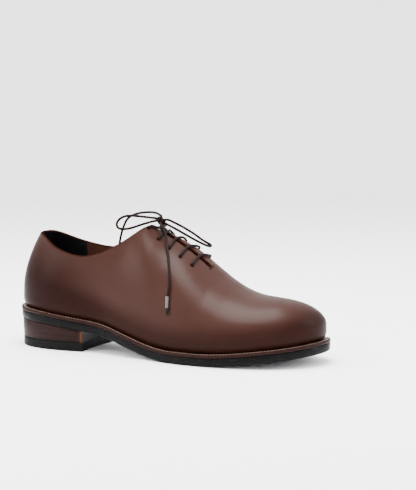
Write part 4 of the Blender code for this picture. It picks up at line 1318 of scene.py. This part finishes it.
def cord_piece(name, route, diameter, finish, spacing=0.0007, around=CORD_AROUND, radius=None):
    """A round cord as one closed mesh, and its line; its UV map is turns about it, millimetres along it."""
    points, travel = dense(route, spacing)
    ahead, side = frames_along(points)
    up = np.cross(ahead, side)
    angle = np.linspace(0, math.tau, around, endpoint=False)
    radii = np.full(len(points), diameter / 2) if radius is None else radius(travel / travel[-1])
    rings = [p + r * (np.cos(angle)[:, None] * s + np.sin(angle)[:, None] * u)
             for p, r, s, u in zip(points, radii, side, up)]
    corners = np.vstack(rings + [points[:1], points[-1:]])
    faces = []
    for i in range(len(points) - 1):
        for j in range(around):
            a, b = i * around + j, i * around + (j + 1) % around
            faces.append((a, b, b + around, a + around))
    first, last = len(corners) - 2, len(corners) - 1
    base = (len(points) - 1) * around
    faces += [(first, (j + 1) % around, j) for j in range(around)]
    faces += [(last, base + j, base + (j + 1) % around) for j in range(around)]
    mesh = bpy.data.meshes.new(name)
    mesh.from_pydata([tuple(map(float, c)) for c in corners], [], faces)
    uv = mesh.uv_layers.new(name="braid")
    for polygon in mesh.polygons:
        columns = [mesh.loops[k].vertex_index % around for k in polygon.loop_indices]
        wrap = max(columns) - min(columns) > around / 2
        for k, column in zip(polygon.loop_indices, columns):
            vertex = mesh.loops[k].vertex_index
            row = min(vertex // around, len(points) - 1)
            turn = (column + around if wrap and column < around / 2 else column) / around
            uv.data[k].uv = (turn, travel[row] * 1000)
    mesh.materials.append(finish_of(finish))
    shape = bmesh.new()
    shape.from_mesh(mesh)
    bmesh.ops.recalc_face_normals(shape, faces=shape.faces)
    shape.to_mesh(mesh)
    shape.free()
    creased_at(mesh, 60)
    return placed(name, mesh), points


def merged(name, pieces):
    """One object from several meshes that share their materials."""
    with bpy.context.temp_override(active_object=pieces[0], selected_editable_objects=pieces):
        bpy.ops.object.join()
    pieces[0].name = name
    return pieces[0]


def make_bars(_sizes):
    """The straight bars of the lacing, each going down into its eyelets; the top one rises to the knot."""
    lift = LACE / 2 + LACE_CLEARANCE
    for k, pair in enumerate(eyelets()):
        crown = None
        if k == 0:
            crown = np.array(KNOT_CENTRE) - (0, 0, KNOT_RADII[2] + LACE / 2 + SEAT_GAP)
        name = "lace_bar_%d" % (k + 1)
        settle(cord_piece("oxford_" + name, bar_route(pair, lift, crown), LACE, "lace")[0], "lace", name)


def knot_point(u, v, w):
    """A place by the knot's own axes: along it, across it and up, each a share of its radius."""
    turn = math.radians(KNOT_TURN)
    along, across, up = (value * radius for value, radius in zip((u, v, w), KNOT_RADII))
    x, y, z = KNOT_CENTRE
    return (x + along * math.cos(turn) - across * math.sin(turn),
            y + along * math.sin(turn) + across * math.cos(turn), z + up)


def mouth(name, end):
    """Two points that carry a free length's end straight on into the knot."""
    route = LACE_ROUTES[name]
    place, beyond = np.array(route[end]), np.array(route[1 if end == 0 else -2])
    out = (beyond - place) / np.linalg.norm(beyond - place)
    return [place + out * MOUTH[0], place - out * MOUTH[1]]


def make_knot(_sizes):
    """The bow's knot: a band wound over three strands that run from one free length into another."""
    turns = np.linspace(0, math.tau * KNOT_WINDS, 30)
    band = [knot_point(KNOT_BAND * (2 * t / turns[-1] - 1), KNOT_BAND_OUT * math.sin(t),
                       KNOT_BAND_OUT * math.cos(t)) for t in turns]
    pieces = [cord_piece("band", band, LACE, "lace", KNOT_SPACING)[0]]
    ways = (("lace_loop_back", 0, "lace_loop_front", 0), ("lace_loop_back", -1, "lace_end_lateral", 0),
            ("lace_loop_front", -1, "lace_end_medial", 0))
    for (first, start, last, end), height in zip(ways, KNOT_STRANDS):
        strand = mouth(first, start) + [np.array(knot_point(0, 0, height))] + mouth(last, end)[::-1]
        pieces.append(cord_piece("strand", strand, LACE, "lace", KNOT_SPACING)[0])
    return settle(merged("oxford_lace_knot", pieces), "lace", "lace_knot")


def make_bow(sizes):
    """The bow's free lengths: two loops and two ends in their aglets."""
    cords = {name: cord_piece("oxford_" + name, route, LACE, "lace", spacing=0.0006)
             for name, route in LACE_ROUTES.items()}
    aglets = {}
    for name, (start, end) in AGLETS.items():
        start, end = np.array(start), np.array(end)
        low = start + (end - start) * sizes.sleeve_share
        sleeve = cord_piece("sleeve", [start, (start + low) / 2, low], AGLET, "aglet",
                            around=AGLET_AROUND)[0]
        tip = cord_piece("tip", [low, (low + end) / 2, end], AGLET, "aglet_tip", around=AGLET_AROUND,
                         radius=lambda t: AGLET / 2 * (TIP_WIDTH - TIP_TAPER * t ** TIP_POWER))[0]
        aglets[name] = settle(merged("oxford_" + name, [sleeve, tip]), "aglet", name)
    for name, tip in (("lace_end_lateral", "aglet_lateral"), ("lace_end_medial", "aglet_medial")):
        declare_cord(*cords[name], name, "fitting", [aglets[tip]])
    for name in ("lace_loop_back", "lace_loop_front"):
        declare_cord(*cords[name], name, "object", [])


def declare_cord(piece, points, name, far_end, with_pieces):
    """Tells the frame about a free length of the lace and what its far end is made fast to."""
    settle(piece, "lace", name)
    length = float(np.sum(np.linalg.norm(np.diff(points, axis=0), axis=1)))
    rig.cord(piece, exit=points[0], length=length, diameter=LACE, far_end=far_end, stiffness="medium",
            lay="loose", path=[tuple(map(float, p)) for p in points], with_pieces=with_pieces)


def stitch_tree():
    """Geometry nodes: small rounded stitches at an even pitch along a line, a little unlike each other."""
    tree = bpy.data.node_groups.new("stitches", "GeometryNodeTree")
    face = tree.interface
    face.new_socket("Geometry", in_out="OUTPUT", socket_type="NodeSocketGeometry")
    face.new_socket("Geometry", in_out="INPUT", socket_type="NodeSocketGeometry")
    for name, value in (("Pitch", 0.003), ("Length", 0.002), ("Thickness", 0.0006)):
        made = face.new_socket(name, in_out="INPUT", socket_type="NodeSocketFloat")
        made.default_value = value
    face.new_socket("Thread", in_out="INPUT", socket_type="NodeSocketMaterial")

    def add(kind, settings=None, **links):
        node = tree.nodes.new(kind)
        for label, value in (settings or {}).items():
            setattr(node, label, value)
        for label, value in links.items():
            socket = node.inputs[label.replace("_", " ")]
            if isinstance(value, bpy.types.NodeSocket):
                tree.links.new(value, socket)
            else:
                socket.default_value = value
        return node

    given = add("NodeGroupInput").outputs
    line = add("GeometryNodeMeshToCurve", Mesh=given["Geometry"]).outputs[0]
    spread = add("GeometryNodeResampleCurve", {"mode": "LENGTH"}, Curve=line, Length=given["Pitch"])
    ahead = add("GeometryNodeInputTangent").outputs[0]
    turn = add("FunctionNodeAlignRotationToVector", {"axis": "X"}, Vector=ahead).outputs[0]
    small = add("FunctionNodeRandomValue", {"data_type": "FLOAT_VECTOR"}, Seed=7)
    small.inputs[0].default_value, small.inputs[1].default_value = (-0.05, -0.05, -0.08), (0.05, 0.05, 0.08)
    wobble = add("FunctionNodeRotateRotation", {"rotation_space": "LOCAL"}, Rotation=turn)
    tree.links.new(small.outputs[0], wobble.inputs[1])
    ball = add("GeometryNodeMeshUVSphere", Segments=8, Rings=7, Radius=0.5).outputs[0]
    size = add("ShaderNodeCombineXYZ", X=given["Length"], Y=given["Thickness"], Z=given["Thickness"])
    stitch = add("GeometryNodeTransform", Geometry=ball, Scale=size.outputs[0]).outputs[0]
    set_out = add("GeometryNodeInstanceOnPoints", Points=spread.outputs[0], Instance=stitch,
                  Rotation=wobble.outputs[0])
    real = add("GeometryNodeRealizeInstances", Geometry=set_out.outputs[0]).outputs[0]
    smooth = add("GeometryNodeSetShadeSmooth", Geometry=real).outputs[0]
    dressed = add("GeometryNodeSetMaterial", Geometry=smooth, Material=given["Thread"]).outputs[0]
    add("NodeGroupOutput", Geometry=dressed)
    return tree


def stitch_row(name, lines, pitch, length, thickness, thread, slot):
    """Stitches along one or more lines of points, baked to one plain mesh."""
    points, edges = [], []
    for line in lines:
        start = len(points)
        points.extend(tuple(map(float, p)) for p in line)
        edges.extend((start + k, start + k + 1) for k in range(len(line) - 1))
    mesh = bpy.data.meshes.new(name)
    mesh.from_pydata(points, edges, [])
    piece = placed(name, mesh)
    tree = bpy.data.node_groups.get("stitches") or stitch_tree()
    nodes = piece.modifiers.new("stitches", "NODES")
    nodes.node_group = tree
    values = {"Pitch": pitch, "Length": length, "Thickness": thickness, "Thread": finish_of(thread)}
    for item in tree.interface.items_tree:
        if item.in_out == "INPUT" and item.name in values:
            nodes[item.identifier] = values[item.name]
    baked(piece)
    return settle(piece, slot)


def fine_row(name, lines, thread, sizes):
    """A row of the upper's fine stitches."""
    pitch = sizes.fine_pitch
    stitch_row(name, lines, pitch, pitch * FINE_STITCH, sizes.fine_thread, thread, "calf")


def edge_line(offset, lift):
    """A line for each side along the topline and the throat, at a distance in from the edge."""
    turns = skin_turns()
    lines = []
    rises = np.linspace(*EDGE_RISES)
    for side in (0, 1):
        patch = creased(upper_patch(side, turns, rises), side)
        normal = upper_normals(patch, side)
        line = []
        for column, ups in zip(patch[turns <= THROAT_END], normal[turns <= THROAT_END]):
            travel = walked(column[::-1])
            place = [np.interp(offset, travel, column[::-1, k]) for k in range(3)]
            up = np.array([np.interp(offset, travel, ups[::-1, k]) for k in range(3)])
            line.append(np.array(place) + up / np.linalg.norm(up) * lift)
        lines.append(np.array(line))
    return lines


def make_topline(sizes):
    """The folded bead on the upper's edge and the row of stitches beside it."""
    beads = [cord_piece("bead", line[::BEAD_SKIP], WALL * sizes.bead_share, "bead", BEAD_SPACING,
                        BEAD_AROUND)[0] for line in edge_line(0.0, -WALL / 2)]
    settle(merged("oxford_topline_bead", beads), "calf")
    fine_row("oxford_topline_stitches", edge_line(sizes.topline_in, -THREAD_SUNK), "calf_thread", sizes)


def make_back_seam(sizes):
    """The closed seam up the heel: a raised strip of calf with a stitched line at each side."""
    rises = np.linspace(*SEAM_RISES)
    lines = []
    for side in (0, 1):
        patch = upper_patch(side, np.array(SEAM_TURNS), rises)
        normal = upper_normals(patch, side)
        travel = np.linalg.norm(patch[1] - patch[0], axis=1)
        share = (sizes.seam_in / np.maximum(travel, 1e-6))[:, None]
        row = patch[0] + (patch[1] - patch[0]) * share
        lines.append(row + normal[1] * (SEAM_THREAD_LIFT - THREAD_SUNK))
    spine = (lines[0] + lines[1]) / 2
    strip = spine[::SEAM_SKIP] + SEAM_IN
    settle(cord_piece("oxford_back_seam", strip, SEAM_THICKNESS, "bead", 0.001, 12)[0], "calf")
    fine_row("oxford_back_stitches", lines, "pale_thread", sizes)


def make_bar_tack(sizes):
    """A short bar of close thread over the throat's end, where the two facings meet."""
    middle, x = throat_middle(), throat_end_x() + TACK_AHEAD
    route = []
    for y in TACK_PLACES:
        place, up = place_on_upper(0 if y < 0 else 1, x, middle + y * sizes.tack_reach)
        route.append(place + up * TACK_LIFT)
    wraps = math.tau * 2 * sizes.tack_reach / sizes.fine_thread
    bar = cord_piece("oxford_bar_tack", route, TACK_THICKNESS, "calf_thread", spacing=0.00008, around=14,
                     radius=lambda t: TACK_THICKNESS / 2 * (1 + TACK_WIND * np.sin(t * wraps)))[0]
    settle(bar, "calf")


def throat_end_x():
    """How far along the shoe the throat's end lies."""
    return float(max(edge_line(0.0, 0.0)[0][:, 0]))


def make_welt_stitches(sizes):
    """The row of light stitches in the welt's groove, all the way round."""
    ring = every(inset(sole_outline(FINE_OUTLINE), sizes.groove), STITCH_POINTS)
    height = lifted(OUTSOLE_THICKNESS + SEAT_GAP + WELT_THICKNESS - 0.0002)
    line = np.column_stack([ring, height(ring[:, 0])])
    line = np.vstack([line, line[:1]])
    stitch_row("oxford_welt_stitches", [line], sizes.welt_pitch, sizes.welt_pitch * WELT_STITCH,
               sizes.welt_thread, "pale_thread", "welt")


def area_light(name, place, size, power, colour):
    """A rectangular lamp that aims at the shoe."""
    lamp = bpy.data.lights.new(name, "AREA")
    lamp.shape = "RECTANGLE"
    lamp.size, lamp.size_y = size
    lamp.energy, lamp.color = power, colour
    thing = placed(name, lamp)
    thing.location = place
    thing.rotation_euler = (Vector(STAGE_AIM) - Vector(place)).to_track_quat("-Z", "Y").to_euler()
    return thing


def make_stage(sizes):
    """A pale round dish, soft light from above, the left and behind, and the photo's camera."""
    profile = [(0.001, 0.0), (0.6, 0.0), (STAGE_FLAT_RADIUS, 0.0)]
    profile += [(STAGE_FLAT_RADIUS + STAGE_BEND * math.sin(a), STAGE_BEND - STAGE_BEND * math.cos(a))
                for a in np.linspace(0.1, math.pi / 2, 24)]
    profile += [(STAGE_FLAT_RADIUS + STAGE_BEND, STAGE_TOP)]
    points = [(STAGE_CENTRE_X + reach * math.cos(a), reach * math.sin(a), height)
              for a in np.linspace(0, math.tau, STAGE_AROUND, endpoint=False) for reach, height in profile]
    faces = grid_faces(STAGE_AROUND, len(profile), flip=True, closed=True)
    floor = mesh_piece("stage_sweep", points, faces, ("sweep",))
    world = bpy.context.scene.world or bpy.data.worlds.new("stage_world")
    bpy.context.scene.world = world
    world.use_nodes = True
    sky = world.node_tree.nodes.get("Background") or world.node_tree.nodes.new("ShaderNodeBackground")
    sky.inputs[0].default_value = SKY
    sky.inputs[1].default_value = sizes.sky_strength
    lamps = [
        area_light("overhead", (0.05, -0.05, 1.15), (0.9, 0.7), sizes.overhead_power, (1.0, 0.985, 0.96)),
        area_light("left_front", (-0.75, -0.75, 0.65), (0.45, 0.8), sizes.key_power, (1.0, 0.97, 0.93)),
        area_light("rim", (1.1, 0.35, 0.55), (0.25, 0.6), sizes.rim_power, (0.95, 0.97, 1.0)),
    ]
    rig.stage(floor, *lamps)
    view = bpy.data.cameras.new("photo_camera")
    view.sensor_fit, view.sensor_height = "VERTICAL", SENSOR_HEIGHT
    view.lens = SENSOR_HEIGHT * CAMERA_FOCAL / PHOTO_HEIGHT
    view.clip_start, view.clip_end = 0.01, 50
    view.dof.use_dof = False
    camera = placed("photo_camera", view)
    turn, tilt = math.radians(CAMERA_TURN), math.radians(CAMERA_TILT)
    right = Vector((math.cos(turn), math.sin(turn), 0))
    back = Vector((math.sin(turn) * math.cos(tilt), -math.cos(turn) * math.cos(tilt), math.sin(tilt)))
    frame_axes = Matrix((right, back.cross(right), back)).transposed().to_4x4()
    camera.matrix_world = Matrix.Translation(CAMERA_PLACE) @ frame_axes
    bpy.context.scene.camera = camera
    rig.stage(camera)


def make_finishes(sizes):
    """Every material of the shoe and the stage, from the colours in the panel."""
    for make in (calf_finish, lining_finish, stack_finish, rubber_finish, lace_finish):
        make(sizes).use_fake_user = True
    # painted shade: the tongue is near black, standing for the shade in the throat's gap
    leather_finish("tongue", tuple(sizes.tongue), 0.42)
    leather_finish("insole", INSOLE, 0.6)
    leather_finish("bead", shaded(tuple(sizes.calf), 0.7), 0.6, sheen=0.0)
    edge_finish("outsole_edge", tuple(sizes.outsole), 0.40, 0.12)
    # painted shade: the welt's top is darkened to stand for the shadowed crevice under the upper
    edge_finish("welt", tuple(sizes.welt), 0.42, top=0.22)
    thread_finish("pale_thread", tuple(sizes.pale_thread))
    thread_finish("calf_thread", tuple(sizes.calf_thread))
    cloudy_finish("aglet", AGLET_SLEEVE, 0.3, Metallic=0.75)
    cloudy_finish("aglet_tip", AGLET_TIP, 0.35)
    stage_finish("sweep", tuple(sizes.floor), 0.75)


def length_of(name, text, value, low=0.0, high=0.05):
    return FloatProperty(name=name, description=text, default=value, min=low, max=high, unit="LENGTH",
                         precision=5)


def colour_of(name, text, value):
    return FloatVectorProperty(name=name, description=text, default=value, size=3, min=0.0, max=1.0,
                               subtype="COLOR")


def share_of(name, text, value, low=0.0, high=1.0):
    return FloatProperty(name=name, description=text, default=value, min=low, max=high)


class OxfordSizes(bpy.types.PropertyGroup):
    """Sizes and colours of the finish; the frame's own sizes are the constants at the top."""

    calf: colour_of("Calf", "Upper leather where it catches the light", (0.0225, 0.0080, 0.0053))
    # painted shade: the calf darkens towards this colour low on the sides; at the toe and the heel it is burnish, and
    # the polish below thins with both
    shade_and_burnish: colour_of("Burnish", "Calf low on the sides, at the toe and heel", (0.0075, 0.0016, 0.0010))
    calf_roughness: share_of("Calf roughness", "How dull the calf is", 0.40)
    polish: share_of("Polish", "Wax coat where the calf isn't burnished", 0.085)
    # painted shade: near black, for the shade in the throat's gap
    tongue: colour_of("Tongue", "Leather of the tongue", (0.0026, 0.0018, 0.0016))
    outsole: colour_of("Outsole edge", "Blackened edge of the sole", (0.0030, 0.0029, 0.0031))
    welt: colour_of("Welt", "Waxed edge of the welt", (0.012, 0.0040, 0.0031))
    stack: colour_of("Heel stack", "Stacked leather of the heel", (0.0095, 0.0042, 0.0034))
    lace: colour_of("Lace", "Waxed round lace", (0.0065, 0.0027, 0.0021))
    pale_thread: colour_of("Pale thread", "Thread of the welt and the back seam", (0.30, 0.20, 0.145))
    calf_thread: colour_of("Calf thread", "Thread of the topline and the bar tack", (0.022, 0.008, 0.0055))
    floor: colour_of("Floor", "Pale sweep under and behind", (0.90, 0.90, 0.905))
    lining_joint: length_of("Lining joint", "Where the black heel lining meets the brown one", 0.012, -0.05)
    groove: length_of("Stitch inset", "Welt stitches from the welt's edge", 0.0026)
    edge_round: length_of("Sole rounding", "Round on the sole's lower edge", 0.0014)
    lift_layer: length_of("Heel layer", "Thickness of one layer of the heel", 0.0047)
    braid_pitch: share_of("Braid pitch", "Millimetres for a lace strand to go once round", 7.0, 1.0, 30.0)
    welt_pitch: length_of("Welt pitch", "Length of a welt stitch with its gap", 0.0030)
    welt_thread: length_of("Welt thread", "Thickness of the welt thread", 0.0007)
    fine_pitch: length_of("Fine pitch", "Length of an upper stitch with its gap", 0.0014)
    fine_thread: length_of("Fine thread", "Thickness of the upper thread", 0.00042)
    topline_in: length_of("Topline row", "Stitches from the topline's edge", 0.0019)
    seam_in: length_of("Back row", "Stitches from the back seam", 0.0016)
    tack_reach: length_of("Bar tack reach", "Half the length of the bar tack", 0.0040)
    bead_share: share_of("Bead", "Topline bead against the thickness of the upper", 0.99, 0.5, 2.0)
    sleeve_share: share_of("Aglet sleeve", "Share of the aglet that is the grey sleeve", 0.62)
    sky_strength: share_of("Sky", "Light from all round", 3.25, 0.0, 5.0)
    overhead_power: share_of("Overhead", "Power of the light above, in watts", 46.0, 0.0, 500.0)
    key_power: share_of("Key", "Power of the light at the left, in watts", 13.0, 0.0, 500.0)
    rim_power: share_of("Rim", "Power of the light behind the toe, in watts", 9.0, 0.0, 500.0)


def tell(operator, build):
    """Builds one group of pieces; anything wrong stops the script with the group's name."""
    try:
        build(bpy.context.scene.oxford_sizes)
    except Exception as trouble:
        raise RuntimeError("%s: %s" % (operator.bl_label, trouble)) from trouble
    return {"FINISHED"}


class OXFORD_OT_finishes(bpy.types.Operator):
    """Make the materials"""

    bl_idname = "oxford.finishes"
    bl_label = "Materials"

    def execute(self, context):
        return tell(self, make_finishes)


class OXFORD_OT_stage(bpy.types.Operator):
    """Set up the floor, the lights and the camera"""

    bl_idname = "oxford.stage"
    bl_label = "Stage"

    def execute(self, context):
        return tell(self, make_stage)


class OXFORD_OT_upper(bpy.types.Operator):
    """Build the one piece upper with its lining and eyelets"""

    bl_idname = "oxford.upper"
    bl_label = "Upper"

    def execute(self, context):
        return tell(self, make_upper)


class OXFORD_OT_seams(bpy.types.Operator):
    """Build the topline bead, the back seam, the bar tack and their stitches"""

    bl_idname = "oxford.seams"
    bl_label = "Seams"

    def execute(self, context):
        for build in (make_topline, make_back_seam, make_bar_tack):
            tell(self, build)
        return {"FINISHED"}


class OXFORD_OT_tongue(bpy.types.Operator):
    """Build the tongue"""

    bl_idname = "oxford.tongue"
    bl_label = "Tongue"

    def execute(self, context):
        return tell(self, make_tongue)


class OXFORD_OT_insole(bpy.types.Operator):
    """Build the insole"""

    bl_idname = "oxford.insole"
    bl_label = "Insole"

    def execute(self, context):
        return tell(self, make_insole)


class OXFORD_OT_welt(bpy.types.Operator):
    """Build the welt and its row of stitches"""

    bl_idname = "oxford.welt"
    bl_label = "Welt"

    def execute(self, context):
        tell(self, make_welt)
        return tell(self, make_welt_stitches)


class OXFORD_OT_outsole(bpy.types.Operator):
    """Build the outsole"""

    bl_idname = "oxford.outsole"
    bl_label = "Outsole"

    def execute(self, context):
        return tell(self, make_outsole)


class OXFORD_OT_heel(bpy.types.Operator):
    """Build the stacked heel and its top lift"""

    bl_idname = "oxford.heel"
    bl_label = "Heel"

    def execute(self, context):
        return tell(self, make_heel)


class OXFORD_OT_bars(bpy.types.Operator):
    """Build the lace's straight bars"""

    bl_idname = "oxford.bars"
    bl_label = "Lace bars"

    def execute(self, context):
        return tell(self, make_bars)


class OXFORD_OT_bow(bpy.types.Operator):
    """Build the knot, the loops, the ends and the aglets"""

    bl_idname = "oxford.bow"
    bl_label = "Bow"

    def execute(self, context):
        tell(self, make_knot)
        return tell(self, make_bow)


STEPS = (OXFORD_OT_finishes, OXFORD_OT_stage, OXFORD_OT_outsole, OXFORD_OT_heel, OXFORD_OT_welt,
         OXFORD_OT_insole, OXFORD_OT_upper, OXFORD_OT_tongue, OXFORD_OT_seams, OXFORD_OT_bars,
         OXFORD_OT_bow)


class OXFORD_PT_panel(bpy.types.Panel):
    """Sizes, colours and building steps of the oxford"""

    bl_idname = "OXFORD_PT_panel"
    bl_label = "Whole cut oxford"
    bl_space_type = "VIEW_3D"
    bl_region_type = "UI"
    bl_category = "Oxford"

    def draw(self, context):
        sizes = context.scene.oxford_sizes
        for name in OxfordSizes.__annotations__:
            self.layout.prop(sizes, name)
        for step in STEPS:
            self.layout.operator(step.bl_idname)


CLASSES = (OxfordSizes, *STEPS, OXFORD_PT_panel)


def register():
    for item in CLASSES:
        bpy.utils.register_class(item)
    bpy.types.Scene.oxford_sizes = PointerProperty(type=OxfordSizes)


def unregister():
    del bpy.types.Scene.oxford_sizes
    for item in reversed(CLASSES):
        bpy.utils.unregister_class(item)


def main():
    register()
    for step in STEPS:
        area, action = step.bl_idname.split(".")
        if getattr(getattr(bpy.ops, area), action)() != {"FINISHED"}:
            raise RuntimeError("%s did not finish" % step.bl_label)
    box = [[float(v) for v in corner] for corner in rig.bounds()]
    with open("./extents.json", "w") as out:
        json.dump({"cad": CAD_BOX, "scene": box}, out)


if __name__ == "__main__":
    main()
